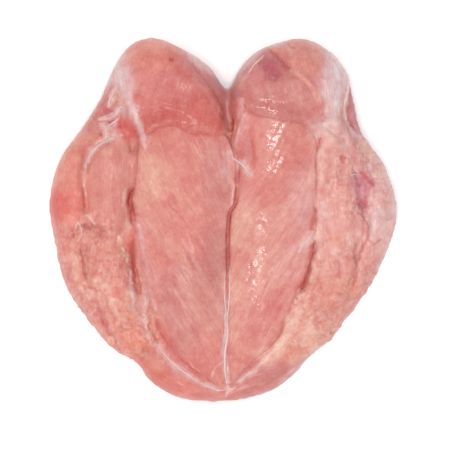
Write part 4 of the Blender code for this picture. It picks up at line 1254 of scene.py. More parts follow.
def link_new(name: str, data: Any) -> bpy.types.Object:
    """Make an object of some data and put it in the scene."""
    piece = bpy.data.objects.new(name, data)
    bpy.context.scene.collection.objects.link(piece)
    return piece


def remesh(piece: bpy.types.Object, voxel: float) -> None:
    """Even out the faces with a voxel remesh, the voxel in mm."""
    modifier = piece.modifiers.new("even faces", "REMESH")
    modifier.mode = "VOXEL"
    modifier.voxel_size = voxel * MM
    freeze(piece)


@dataclass(frozen=True)
class Skin:
    """Vertices of a mesh in mm, and their normals, one row each."""

    places: Array
    normals: Array

    @classmethod
    def of(cls, mesh: bpy.types.Mesh) -> "Skin":
        """Read the vertices of a mesh."""
        rows = []
        for kind in ("co", "normal"):
            values = np.empty(len(mesh.vertices) * 3, dtype=np.float32)
            mesh.vertices.foreach_get(kind, values)
            rows.append(values.reshape(-1, 3).astype(float))
        return cls(rows[0] / MM, rows[1])


def move_vertices(mesh: bpy.types.Mesh, places: Array) -> None:
    """Write vertex coordinates given in mm."""
    mesh.vertices.foreach_set("co", (places * MM).astype(np.float32).ravel())
    mesh.update()


def write_attribute(mesh: bpy.types.Mesh, name: str, kind: str, values: Any) -> None:
    """Give each vertex of a mesh a value of its own.

    Args:
        mesh: The mesh.
        name: Name of the new attribute.
        kind: FLOAT, FLOAT_VECTOR or FLOAT_COLOR.
        values: The values, one row for each vertex.
    """
    item = {"FLOAT": "value", "FLOAT_VECTOR": "vector", "FLOAT_COLOR": "color"}[kind]
    attribute = mesh.attributes.new(name, kind, "POINT")
    attribute.data.foreach_set(item, np.asarray(values, dtype=np.float32).ravel())


def slab(name: str, loop: Array, thickness: float) -> bpy.types.Object:
    """Flat slab with the plan of a loop, made from a filled 2D curve.

    Args:
        name: Name of the new object.
        loop: The plan, in mm.
        thickness: Its thickness, in mm.

    Returns:
        The object, with its middle plane at z = 0.
    """
    curve = bpy.data.curves.new(name + "_plan", "CURVE")
    curve.dimensions = "2D"
    curve.fill_mode = "BOTH"
    curve.extrude = thickness * MM / 2
    spline = curve.splines.new("POLY")
    spline.points.add(len(loop) - 1)
    for point, (x, y) in zip(spline.points, loop):
        point.co = (x * MM, y * MM, 0.0, 1.0)
    spline.use_cyclic_u = True
    plan = link_new(name + "_plan", curve)
    bpy.context.view_layer.update()
    graph = bpy.context.evaluated_depsgraph_get()
    mesh = bpy.data.meshes.new_from_object(plan.evaluated_get(graph))
    bpy.data.objects.remove(plan, do_unlink=True)
    sheet = bmesh.new()
    sheet.from_mesh(mesh)
    bmesh.ops.remove_doubles(sheet, verts=sheet.verts, dist=WELD * MM)
    sheet.to_mesh(mesh)
    sheet.free()
    return link_new(name, mesh)


def fine_solid(name: str, loop: Array, lower: Surface, upper: Surface) -> bpy.types.Object:
    """Solid between a lower and an upper surface, with small even faces.

    Args:
        name: Name of the new object.
        loop: Its plan, in mm.
        lower: Height of its underside.
        upper: Height of its upper side.

    Returns:
        The object, its vertices still measured from the keel line.
    """
    thickness = 2 * SLAB_VOXEL
    piece = slab(name, loop, thickness)
    remesh(piece, SLAB_VOXEL)
    places = Skin.of(piece.data).places
    x, y, z = places.T
    for axis in (0, 1):
        row = places[:, axis]
        span = np.ptp(loop[:, axis])
        places[:, axis] = loop[:, axis].min() + (row - row.min()) * span / np.ptp(row)
    share = np.clip(z / thickness + 0.5, 0, 1)
    floor = lower(x, y)
    places[:, 2] = floor + share * (upper(x, y) - floor)
    move_vertices(piece.data, places)
    remesh(piece, SKIN_VOXEL)
    return piece


def thin_out(piece: bpy.types.Object, hidden: Array, triangles: int) -> None:
    """Collapse faces where they don't show, as far down as those faces allow.

    Args:
        piece: The object.
        hidden: True at each vertex whose faces may go.
        triangles: How many triangles to aim at.
    """
    piece.modifiers.new("triangles", "TRIANGULATE")
    group = piece.vertex_groups.new(name="hidden")
    group.add([int(index) for index in np.flatnonzero(hidden)], 1.0, "REPLACE")
    freeze(piece)
    ratio = triangles / len(piece.data.polygons)
    if ratio < 1:
        modifier = piece.modifiers.new("fewer faces", "DECIMATE")
        modifier.ratio = ratio
        modifier.vertex_group = "hidden"
        freeze(piece)
    piece.vertex_groups.clear()


class NodeGraph:
    """A node tree with short ways to add and join nodes."""

    def __init__(self, tree: bpy.types.NodeTree) -> None:
        """Wrap a tree."""
        self.tree = tree

    def add(self, kind: str, **settings: Any) -> bpy.types.Node:
        """Add a node and set its properties."""
        node = self.tree.nodes.new(kind)
        for name, value in settings.items():
            setattr(node, name, value)
        return node

    def join(self, source: Any, target: Any) -> None:
        """Link an output socket to an input socket, or set the input to a value."""
        if isinstance(source, bpy.types.NodeSocket):
            self.tree.links.new(source, target)
        else:
            target.default_value = source

    def feed(self, kind: str, inputs: dict[Any, Any], **settings: Any) -> bpy.types.Node:
        """Add a node, set its properties, and join or set its inputs by name or number."""
        node = self.add(kind, **settings)
        for label, source in inputs.items():
            self.join(source, node.inputs[label])
        return node

    def math(self, operation: str, *values: Any, clamp: bool = False) -> Any:
        """Math node on sockets or numbers, giving its output socket."""
        inputs = dict(enumerate(values))
        return self.feed("ShaderNodeMath", inputs, operation=operation, use_clamp=clamp).outputs[0]

    def vector(self, operation: str, *values: Any) -> Any:
        """Vector math node on sockets or vectors, giving its output socket."""
        inputs = dict(enumerate(values))
        return self.feed("ShaderNodeVectorMath", inputs, operation=operation).outputs[0]

    def scale(self, vector: Any, factor: Any) -> Any:
        """Vector times a factor, giving its output socket."""
        inputs = {0: vector, "Scale": factor}
        return self.feed("ShaderNodeVectorMath", inputs, operation="SCALE").outputs[0]

    def noise(self, place: Any, scale: float, detail: float, rough: float = 0.5) -> Any:
        """Noise texture at a place, giving its value socket."""
        inputs = {"Vector": place, "Scale": scale, "Detail": detail, "Roughness": rough}
        return self.feed("ShaderNodeTexNoise", inputs).outputs[0]

    def stray(self, place: Any, scale: float, amount: Any, seed: Any = None) -> Any:
        """Random offset at a place.

        Args:
            place: Socket of the place.
            scale: How quickly the offset changes from place to place.
            amount: Socket or number that the offset is multiplied by.
            seed: Socket that turns the noise into another, or None.

        Returns:
            Socket of the offset vector.
        """
        inputs = {"Vector": place, "Scale": scale}
        kind = "3D"
        if seed is not None:
            inputs["W"] = seed
            kind = "4D"
        noise = self.feed("ShaderNodeTexNoise", inputs, noise_dimensions=kind)
        middle = (0.5, 0.5, 0.5)
        return self.scale(self.vector("SUBTRACT", noise.outputs["Color"], middle), amount)

    def remap(self, value: Any, low: float, high: float, to_low: float, to_high: float) -> Any:
        """Map a range of values to another, clamped."""
        inputs = dict(enumerate((value, low, high, to_low, to_high)))
        return self.feed("ShaderNodeMapRange", inputs, clamp=True).outputs[0]

    def swing(self, noise: Any, low: float, high: float) -> Any:
        """Spread a noise over a range."""
        return self.remap(noise, NOISE_LOW, NOISE_HIGH, low, high)

    def mix(self, factor: Any, first: Any, second: Any) -> Any:
        """Mix two colours by a factor, giving the colour's socket."""
        inputs = {"Factor": factor, 6: first, 7: second}
        return self.feed("ShaderNodeMix", inputs, data_type="RGBA").outputs[2]

    def attribute(self, name: str, output: str) -> Any:
        """Value of a mesh's own attribute, in a shader."""
        return self.add("ShaderNodeAttribute", attribute_name=name).outputs[output]


NoiseLook = tuple[float, float, float]
Span = tuple[float, float]


@dataclass(frozen=True)
class MeatFinish:
    """Finish of raw meat: painted colour, fine fibres, marbling and a wet gloss.

    Each noise is given by its bumps to the unit, its detail and its roughness. Fibres
    and depths are in mm.
    """

    name: str
    fibre: NoiseLook = (1.0, 3.0, 0.6)
    fibre_width: float = 0.55
    fibre_length: float = 7.0
    fibre_tint: float = 0.15
    fibre_relief: float = 0.35
    speck: NoiseLook = (620.0, 3.0, 0.62)
    speck_tint: Span = (0.84, 1.15)
    speck_roughness: float = 0.06
    speck_relief: float = 0.25
    blotch: NoiseLook = (190.0, 2.0, 0.5)
    blotch_tint: Span = (0.88, 1.12)
    marble: NoiseLook = (420.0, 4.0, 0.65)
    marble_span: Span = (0.52, 0.72)
    marble_share: float = 0.30
    flush: NoiseLook = (310.0, 3.0, 0.6)
    flush_span: Span = (0.5, 0.7)
    flush_share: float = 0.35
    wrinkle: NoiseLook = (900.0, 2.0, 0.55)
    wrinkle_wetness: Span = (0.45, 1.0)
    wrinkle_relief: float = 1.2
    bump_strength: float = 0.7
    bump_depth: float = 0.35
    dry_roughness: float = 0.5
    wet_roughness: float = 0.20
    coat_wetness: Span = (0.25, 1.0)
    coat_span: Span = (0.08, 0.5)
    coat_roughness: float = 0.12
    scatter: float = 0.45
    scatter_radius: tuple[float, float, float] = (1.0, 0.6, 0.5)
    scatter_depth: float = 1.6
    bending: float = 1.38
    specular: float = 0.3

    def make(self) -> bpy.types.Material:
        """Build the material."""
        material = bpy.data.materials.new(self.name)
        material.use_nodes = True
        graph = NodeGraph(material.node_tree)
        stretch = (1 / self.fibre_width, 1 / self.fibre_length, 1.0)
        grain = graph.vector("MULTIPLY", graph.attribute("grain", "Vector"), stretch)
        fibre = graph.noise(grain, *self.fibre)
        place = graph.add("ShaderNodeTexCoord").outputs["Object"]
        speck = graph.noise(place, *self.speck)
        wet = graph.attribute("wet", "Fac")
        shader = material.node_tree.nodes["Principled BSDF"]
        for label, source in (
            ("Base Color", self.colour(graph, place, fibre, speck)),
            ("Roughness", self.roughness(graph, speck, wet)),
            ("Normal", self.relief(graph, place, fibre, speck, wet)),
            ("Coat Weight", graph.remap(wet, *self.coat_wetness, *self.coat_span)),
            ("Coat Roughness", self.coat_roughness),
            ("Subsurface Weight", self.scatter),
            ("Subsurface Radius", self.scatter_radius),
            ("Subsurface Scale", self.scatter_depth * MM),
            ("IOR", self.bending),
            ("Specular IOR Level", self.specular),
        ):
            graph.join(source, shader.inputs[label])
        return material

    def colour(self, graph: NodeGraph, place: Any, fibre: Any, speck: Any) -> Any:
        """Vary the painted colour, and add marbling and red spots.

        Args:
            graph: The material's nodes.
            place: Place on the meat.
            fibre: Noise of the fibres.
            speck: Noise of the specks.

        Returns:
            Socket of the colour.
        """
        blotch = graph.noise(place, *self.blotch)
        tint = graph.swing(fibre, 1 - self.fibre_tint, 1 + self.fibre_tint)
        tint = graph.math("MULTIPLY", tint, graph.swing(speck, *self.speck_tint))
        tint = graph.math("MULTIPLY", tint, graph.swing(blotch, *self.blotch_tint))
        shares = [graph.math("MULTIPLY_ADD", tint, share, 1 - share) for share in HUE_SWING]
        change = graph.feed("ShaderNodeCombineXYZ", dict(enumerate(shares))).outputs[0]
        colour = graph.vector("MULTIPLY", graph.attribute("meat", "Color"), change)
        for noise, span, share, tone in (
            (self.marble, self.marble_span, self.marble_share, Tone.CREAM),
            (self.flush, self.flush_span, self.flush_share, Tone.DEEP),
        ):
            spots = graph.remap(graph.noise(place, *noise), *span, 0.0, share)
            colour = graph.mix(spots, colour, (*tone.albedo, 1.0))
        return colour

    def roughness(self, graph: NodeGraph, speck: Any, wet: Any) -> Any:
        """Roughness, less where the meat is wet and uneven by the specks."""
        rough = graph.remap(wet, 0.0, 1.0, self.dry_roughness, self.wet_roughness)
        change = graph.swing(speck, -self.speck_roughness, self.speck_roughness)
        return graph.math("ADD", rough, change, clamp=True)

    def relief(self, graph: NodeGraph, place: Any, fibre: Any, speck: Any, wet: Any) -> Any:
        """Add the finest relief: fibres, specks, and wrinkles where it is wet.

        Args:
            graph: The material's nodes.
            place: Place on the meat.
            fibre: Noise of the fibres.
            speck: Noise of the specks.
            wet: Painted wetness.

        Returns:
            Socket of the normal.
        """
        wrinkle = graph.noise(place, *self.wrinkle)
        strength = graph.remap(wet, *self.wrinkle_wetness, 0.0, self.wrinkle_relief)
        wrinkle = graph.math("MULTIPLY", wrinkle, strength)
        height = graph.math("MULTIPLY", speck, self.speck_relief)
        height = graph.math("MULTIPLY_ADD", fibre, self.fibre_relief, height)
        inputs = {
            "Strength": self.bump_strength,
            "Distance": self.bump_depth * MM,
            "Height": graph.math("ADD", height, wrinkle),
        }
        return graph.feed("ShaderNodeBump", inputs).outputs["Normal"]


@dataclass(frozen=True)
class PlainFinish:
    """Finish of sinew, fat or a surface of the studio: one tone with fine specks."""

    name: str
    colour: tuple[float, float, float]
    roughness: float
    scatter: float = 0.0
    speckle: float = 0.0
    speck: NoiseLook = (500.0, 3.0, 0.5)
    scatter_radius: tuple[float, float, float] = (1.0, 0.5, 0.4)
    scatter_depth: float = 1.5

    def make(self) -> bpy.types.Material:
        """Build the material."""
        material = bpy.data.materials.new(self.name)
        material.use_nodes = True
        graph = NodeGraph(material.node_tree)
        colour: Any = (*self.colour, 1.0)
        if self.speckle:
            place = graph.add("ShaderNodeTexCoord").outputs["Object"]
            speck = graph.noise(place, *self.speck)
            tint = graph.swing(speck, 1 - self.speckle, 1 + self.speckle)
            colour = graph.scale(self.colour, tint)
        shader = material.node_tree.nodes["Principled BSDF"]
        for label, source in (
            ("Base Color", colour),
            ("Roughness", self.roughness),
            ("Subsurface Weight", self.scatter),
            ("Subsurface Radius", self.scatter_radius),
            ("Subsurface Scale", self.scatter_depth * MM),
        ):
            graph.join(source, shader.inputs[label])
        return material


@dataclass
class MeatPiece:
    """A solid of meat: its fine mesh, its paint and its finish."""

    name: str
    nodes: tuple[str, ...]
    slot: str
    form: BreastForm | TenderForm
    patches: tuple[Patch, ...]
    triangles: int
    finish: MeatFinish
    seed: int

    def hidden(self, skin: Skin) -> Array:
        """Which vertices don't show from above and may be thinned out."""
        return skin.normals[:, 2] < HIDDEN_TILT

    def facing(self, skin: Skin) -> Array:
        """How far each vertex belongs to the inner side, from 0 to 1."""
        factor, offset = TENDER_FADE
        return np.clip(skin.normals[:, 2] * factor + offset, 0, 1)

    def melt_edges(self, canvas: Canvas) -> None:
        """Let the ground colour run into that of the fillet around the piece."""
        around = Canvas(canvas.x, canvas.y, canvas.facing)
        around.ground(PATCHES)
        edge, _ = near_path(canvas.x, canvas.y, self.form.loop, closed=True)
        share = falloff(edge, MELT_WIDTH) * np.clip(np.abs(canvas.x) / MELT_SEAM, 0, 1)
        canvas.colour += MELT_SHARE * share[:, None] * (around.colour - canvas.colour)

    def streak(self, canvas: Canvas) -> None:
        """Lay cream and red bands that follow the fibres."""
        wide = WIDE_BANDS.on(canvas, self.seed)
        thin = THIN_BANDS.on(canvas, self.seed)
        patchy = canvas.bumps(BAND_PATCH_SIZE, self.seed + BAND_PATCH_SEED)
        patchy = BAND_PATCH_LEAST + (1 - BAND_PATCH_LEAST) * patchy
        bands = (WIDE_BAND_SHARE * wide + THIN_BAND_SHARE * thin) * patchy
        canvas.lay(CREAM_BAND * np.clip(bands, 0, 1) * canvas.facing, Tone.CREAM)
        canvas.lay(RED_BAND * np.clip(-bands, 0, 1) * canvas.facing, Tone.DEEP)

    def shade_edge(self, canvas: Canvas, loop: Array) -> None:
        """Paint red shade along an outline where two pieces meet."""
        edge, _ = near_path(canvas.x, canvas.y, loop, closed=True)
        canvas.lay(EDGE_SHADE * falloff(edge, EDGE_SHADE_WIDTH) * canvas.facing, Tone.RED)

    def tone_edges(self, canvas: Canvas) -> None:
        """Paint red shade along the edge where the pieces meet."""
        self.shade_edge(canvas, self.form.loop)

    def paint(self, skin: Skin) -> Canvas:
        """Lay all the paint and the fine relief.

        Args:
            skin: Vertices of the mesh.

        Returns:
            The finished canvas.
        """
        x, y, _ = skin.places.T
        canvas = Canvas(x, y, self.facing(skin))
        canvas.ground(self.patches)
        self.melt_edges(canvas)
        for index, (size, amount) in enumerate(MOTTLES):
            canvas.swing(amount * canvas.bumps(size, self.seed + index))
        self.streak(canvas)
        self.tone_edges(canvas)
        for index, stroke in enumerate(STROKES):
            canvas.stroke(stroke, self.seed + STROKE_SEEDS * index)
        bundles = BUNDLES.on(canvas, self.seed)
        bundles = bundles + FINE_BUNDLE_SHARE * FINE_BUNDLES.on(canvas, self.seed)
        canvas.lift += BUNDLE_RELIEF * bundles * canvas.facing
        canvas.swing(BUNDLE_TONE * bundles)
        crinkle = canvas.bumps(CRINKLE_SIZE, Seed.CRINKLE)
        crinkle = crinkle * np.clip(canvas.wet - CRINKLE_WETNESS, 0, 1)
        canvas.lift += CRINKLE_RELIEF * crinkle * canvas.facing
        return canvas

    def build(self) -> bpy.types.Object:
        """Make the mesh, paint it, and put it in the part's frame."""
        form = self.form
        piece = fine_solid(self.name, form.loop, form.lower, form.upper)
        thin_out(piece, self.hidden(Skin.of(piece.data)), self.triangles)
        mesh = piece.data
        skin = Skin.of(mesh)
        canvas = self.paint(skin)
        places = skin.places + skin.normals * canvas.lift[:, None]
        places[:, 2] = np.clip(places[:, 2], 0, None)
        places[:, :2] -= MIDDLE
        move_vertices(mesh, places)
        rgba = np.column_stack([np.clip(canvas.colour, 0, 1), np.ones(len(places))])
        write_attribute(mesh, "meat", "FLOAT_COLOR", rgba)
        write_attribute(mesh, "wet", "FLOAT", np.clip(canvas.wet, 0, 1))
        write_attribute(mesh, "grain", "FLOAT_VECTOR", canvas.grain)
        mesh.materials.clear()
        mesh.materials.append(self.finish.make())
        mesh.shade_smooth()
        return piece

    def dress(self) -> bpy.types.Object:
        """Build the piece, hang it under the root body and hide the CAD parts it stands for."""
        piece = self.build()
        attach(piece, "root")
        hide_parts(*self.nodes)
        LOG.info("%s: %d faces", self.name, len(piece.data.polygons))
        return piece


class BreastPiece(MeatPiece):
    """The two joined fillets, with the hidden beds and a plain outer side."""

    def hidden(self, skin: Skin) -> Array:
        """Underside, and the beds that the tenderloins cover."""
        x, y, _ = skin.places.T
        hidden = super().hidden(skin)
        for bed in self.form.beds:
            edge, _ = near_path(x, y, bed.loop, closed=True)
            hidden |= inside_loop(x, y, bed.loop) & (edge > BED_SHOWN)
        return hidden

    def facing(self, skin: Skin) -> Array:
        """Inner side only, fading out over the rounded rim."""
        factor, offset = BREAST_FADE
        above_rim = np.clip((skin.places[:, 2] - RIM_LOWER) / RIM_FADE, 0, 1)
        return above_rim * np.clip(skin.normals[:, 2] * factor + offset, 0, 1)

    def melt_edges(self, canvas: Canvas) -> None:
        """Leave the ground colour, as the tenderloins' edges take it on."""

    def tone_edges(self, canvas: Canvas) -> None:
        """Paint red shade along the tenderloins, pale the thin rim, and tear the rib edges with painted
        highlight and shade.
        """
        for bed in self.form.beds:
            self.shade_edge(canvas, bed.loop)
        rim, _ = near_path(canvas.x, canvas.y, self.form.loop, closed=True)
        canvas.lay(RIM_PALE * falloff(rim, RIM_PALE_WIDTH), Tone.MILKY)
        self.tear(canvas)

    def tear(self, canvas: Canvas) -> None:
        """Break the ragged rib edges up into torn lumps with creases between them, with a painted
        highlight on the lumps' tops and painted shade in the creases.

        Args:
            canvas: The breast's canvas.
        """
        ragged = np.clip(RAGGED_SHARE * crag_weight(canvas.x, canvas.y), 0, 1) * canvas.facing
        stray_x = TEAR_STRAY * canvas.bumps(TEAR_STRAY_SIZE, Seed.TEAR_ACROSS)
        stray_y = TEAR_STRAY * canvas.bumps(TEAR_STRAY_SIZE, Seed.TEAR_ALONG)
        across, along = canvas.grain[:, 0] + stray_x, canvas.grain[:, 1] + stray_y
        big, gap = cells(across, along / LUMP_STRETCH, LUMP_SIZE, Seed.LUMP)
        small, split = cells(across, along / SMALL_LUMP_STRETCH, SMALL_LUMP_SIZE, Seed.SMALL_LUMP)
        lumps = LUMP_HEIGHT * (0.5 - big) + SMALL_LUMP_HEIGHT * (0.5 - small)
        grit = uneven(canvas.x + stray_x, canvas.y + stray_y, GRIT_SIZE, Seed.GRIT)
        canvas.lift += ragged * (lumps + GRIT_HEIGHT * grit)
        small_creases = SMALL_CREASE_SHARE * np.clip(1 - split / SMALL_LUMP_CREASE, 0, 1)
        creases = np.clip(np.clip(1 - gap / LUMP_CREASE, 0, 1) + small_creases, 0, 1)
        shown = np.clip(0.5 + canvas.bumps(CREASE_TONE_SIZE, Seed.CREASE_TONE), 0, 1)
        # painted highlight on the lumps' tops, and painted shade in the creases, orange in some places
        # and dark red in others
        pale = np.clip(LUMP_HIGHLIGHT_GAIN * lumps, 0, 1)
        canvas.lay(LUMP_HIGHLIGHT_SHARE * ragged * pale, Tone.TORN_PALE)
        canvas.lay(ORANGE_CREASE_SHADE * ragged * creases * shown, Tone.ORANGE)
        canvas.lay(RED_CREASE_SHADE * ragged * creases * (1 - shown), Tone.DEEP)


class GeometryTree:
    """A Geometry Nodes tree with named inputs, run once on an object."""

    def __init__(self, name: str, inputs: dict[str, tuple[str, Any]]) -> None:
        """Make the tree and its sockets.

        Args:
            name: Name of the tree.
            inputs: Each input's name, with its socket type and its value.
        """
        self.tree = bpy.data.node_groups.new(name, "GeometryNodeTree")
        face = self.tree.interface
        face.new_socket("Geometry", in_out="INPUT", socket_type="NodeSocketGeometry")
        face.new_socket("Geometry", in_out="OUTPUT", socket_type="NodeSocketGeometry")
        self.values: dict[str, Any] = {}
        for label, (kind, value) in inputs.items():
            socket = face.new_socket(label, in_out="INPUT", socket_type=kind)
            self.values[socket.identifier] = value
        self.graph = NodeGraph(self.tree)
        self.source = self.graph.add("NodeGroupInput")
        self.result = self.graph.add("NodeGroupOutput")

    def given(self, label: str) -> bpy.types.NodeSocket:
        """Socket of a named input."""
        return self.source.outputs[label]

    def finish(self, geometry: Any, material: Any) -> None:
        """End the tree in Realize Instances and Set Material."""
        graph = self.graph
        real = graph.feed("GeometryNodeRealizeInstances", {0: geometry})
        smooth = graph.feed("GeometryNodeSetShadeSmooth", {0: real.outputs[0]})
        inputs = {"Geometry": smooth.outputs[0], "Material": material}
        painted = graph.feed("GeometryNodeSetMaterial", inputs)
        graph.join(painted.outputs[0], self.result.inputs[0])

    def run(self, piece: bpy.types.Object) -> None:
        """Evaluate the tree on an object and keep the result as its mesh."""
        modifier = piece.modifiers.new(self.tree.name, "NODES")
        modifier.node_group = self.tree
        for identifier, value in self.values.items():
            modifier[identifier] = value
        freeze(piece)


@dataclass
class SinewWeb:
    """Loose strands of sinew and membrane that lie on the meat, with sizes in mm."""

    surfaces: tuple[bpy.types.Object, ...]
    finish: PlainFinish
    spacing: float = 0.6
    wobble: float = 0.35
    wobble_scale: float = 260.0
    reach: float = 0.7
    drop_from: float = 100.0
    drop_length: float = 1000.0
    tip: float = 0.02
    fullness: float = 0.6
    flatness: float = 0.28
    sides: int = 8
    seed: int = 5

    def guides(self) -> bpy.types.Object:
        """Strand paths as bare edges on the resting plane, with their radius."""
        corners, edges, radii = [], [], []
        for path, radius in STRANDS:
            for index, (x, y) in enumerate(path):
                if index:
                    edges.append((len(corners) - 1, len(corners)))
                corners.append(((x - MIDDLE[0]) * MM, (y - MIDDLE[1]) * MM, 0.0))
                radii.append(radius * MM)
        mesh = bpy.data.meshes.new("sinew_strands")
        mesh.from_pydata(corners, edges, [])
        write_attribute(mesh, "strand_radius", "FLOAT", radii)
        return link_new("sinew_strands", mesh)

    def tree(self, material: bpy.types.Material) -> GeometryTree:
        """Make the tree that drops the paths onto the meat and thickens them.

        Args:
            material: The strands' material.

        Returns:
            The tree, ready to run.
        """
        sockets: dict[str, tuple[str, Any]] = {
            "Wobble": ("NodeSocketFloat", self.wobble * MM),
            "Seed": ("NodeSocketFloat", float(self.seed)),
            "Material": ("NodeSocketMaterial", material),
        }
        for index, surface in enumerate(self.surfaces):
            sockets[f"Surface {index}"] = ("NodeSocketObject", surface)
        tree = GeometryTree("strands on meat", sockets)
        graph = tree.graph
        curve = graph.feed("GeometryNodeMeshToCurve", {"Mesh": tree.given("Geometry")})
        inputs = {"Curve": curve.outputs[0]}
        kind = graph.feed("GeometryNodeCurveSplineType", inputs, spline_type="CATMULL_ROM")
        inputs = {"Curve": kind.outputs[0], "Length": self.spacing * MM}
        fine = graph.feed("GeometryNodeResampleCurve", inputs, mode="LENGTH")
        inputs = {"Geometry": fine.outputs[0], "Position": self.drop(tree)}
        dropped = graph.feed("GeometryNodeSetPosition", inputs)
        inputs = {"Curve": dropped.outputs[0]}
        upright = graph.feed("GeometryNodeSetCurveNormal", inputs, mode="Z_UP")
        inputs = {"Curve": upright.outputs[0], "Radius": self.radius(graph)}
        sized = graph.feed("GeometryNodeSetCurveRadius", inputs)
        inputs = {
            "Curve": sized.outputs[0],
            "Profile Curve": self.section(graph),
            "Scale": graph.add("GeometryNodeInputRadius").outputs[0],
            "Fill Caps": True,
        }
        tube = graph.feed("GeometryNodeCurveToMesh", inputs)
        tree.finish(tube.outputs[0], tree.given("Material"))
        return tree

    def drop(self, tree: GeometryTree) -> Any:
        """Let the points stray, and set them on top of the meat under and beside them.

        Args:
            tree: The tree, with its inputs.

        Returns:
            Socket of the points' places.
        """
        graph = tree.graph
        meat = graph.add("GeometryNodeJoinGeometry")
        for index in range(len(self.surfaces)):
            inputs = {"Object": tree.given(f"Surface {index}")}
            info = graph.feed("GeometryNodeObjectInfo", inputs, transform_space="RELATIVE")
            graph.join(info.outputs["Geometry"], meat.inputs[0])
        place = graph.add("GeometryNodeInputPosition").outputs[0]
        amount = graph.math("MULTIPLY", tree.given("Wobble"), 2.0)
        stray = graph.stray(place, self.wobble_scale, amount, tree.given("Seed"))
        moved = graph.vector("ADD", place, stray)
        heights = []
        for step in (-self.reach, 0.0, self.reach):
            start = (step * MM, 0.0, self.drop_from * MM)
            inputs = {
                "Target Geometry": meat.outputs[0],
                "Source Position": graph.vector("ADD", moved, start),
                "Ray Direction": (0.0, 0.0, -1.0),
                "Ray Length": self.drop_length * MM,
            }
            ray = graph.feed("GeometryNodeRaycast", inputs)
            split = graph.feed("ShaderNodeSeparateXYZ", {0: ray.outputs["Hit Position"]})
            heights.append(split.outputs["Z"])
        top = graph.math("MAXIMUM", graph.math("MAXIMUM", heights[0], heights[1]), heights[2])
        plan = graph.vector("MULTIPLY", moved, (1.0, 1.0, 0.0))
        lifted = graph.feed("ShaderNodeCombineXYZ", {"Z": top})
        return graph.vector("ADD", plan, lifted.outputs[0])

    def radius(self, graph: NodeGraph) -> Any:
        """Radius of a strand, thinning toward both of its ends."""
        share = graph.add("GeometryNodeSplineParameter").outputs["Factor"]
        swell = graph.math("SINE", graph.math("MULTIPLY", share, np.pi))
        swell = graph.math("POWER", graph.math("MAXIMUM", swell, self.tip), self.fullness)
        inputs = {"Name": "strand_radius"}
        radius = graph.feed("GeometryNodeInputNamedAttribute", inputs, data_type="FLOAT")
        return graph.math("MULTIPLY", swell, radius.outputs["Attribute"])

    def section(self, graph: NodeGraph) -> Any:
        """Flattened ring that a strand is drawn out of."""
        inputs = {"Resolution": self.sides, "Radius": 1.0}
        ring = graph.feed("GeometryNodeCurvePrimitiveCircle", inputs)
        inputs = {"Geometry": ring.outputs[0], "Scale": (1.0, self.flatness, 1.0)}
        return graph.feed("GeometryNodeTransform", inputs).outputs[0]

    def dress(self) -> bpy.types.Object:
        """Make the strands and hang them under the root body."""
        piece = self.guides()
        self.tree(self.finish.make()).run(piece)
        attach(piece, "root")
        LOG.info("sinew strands: %d faces", len(piece.data.polygons))
        return piece


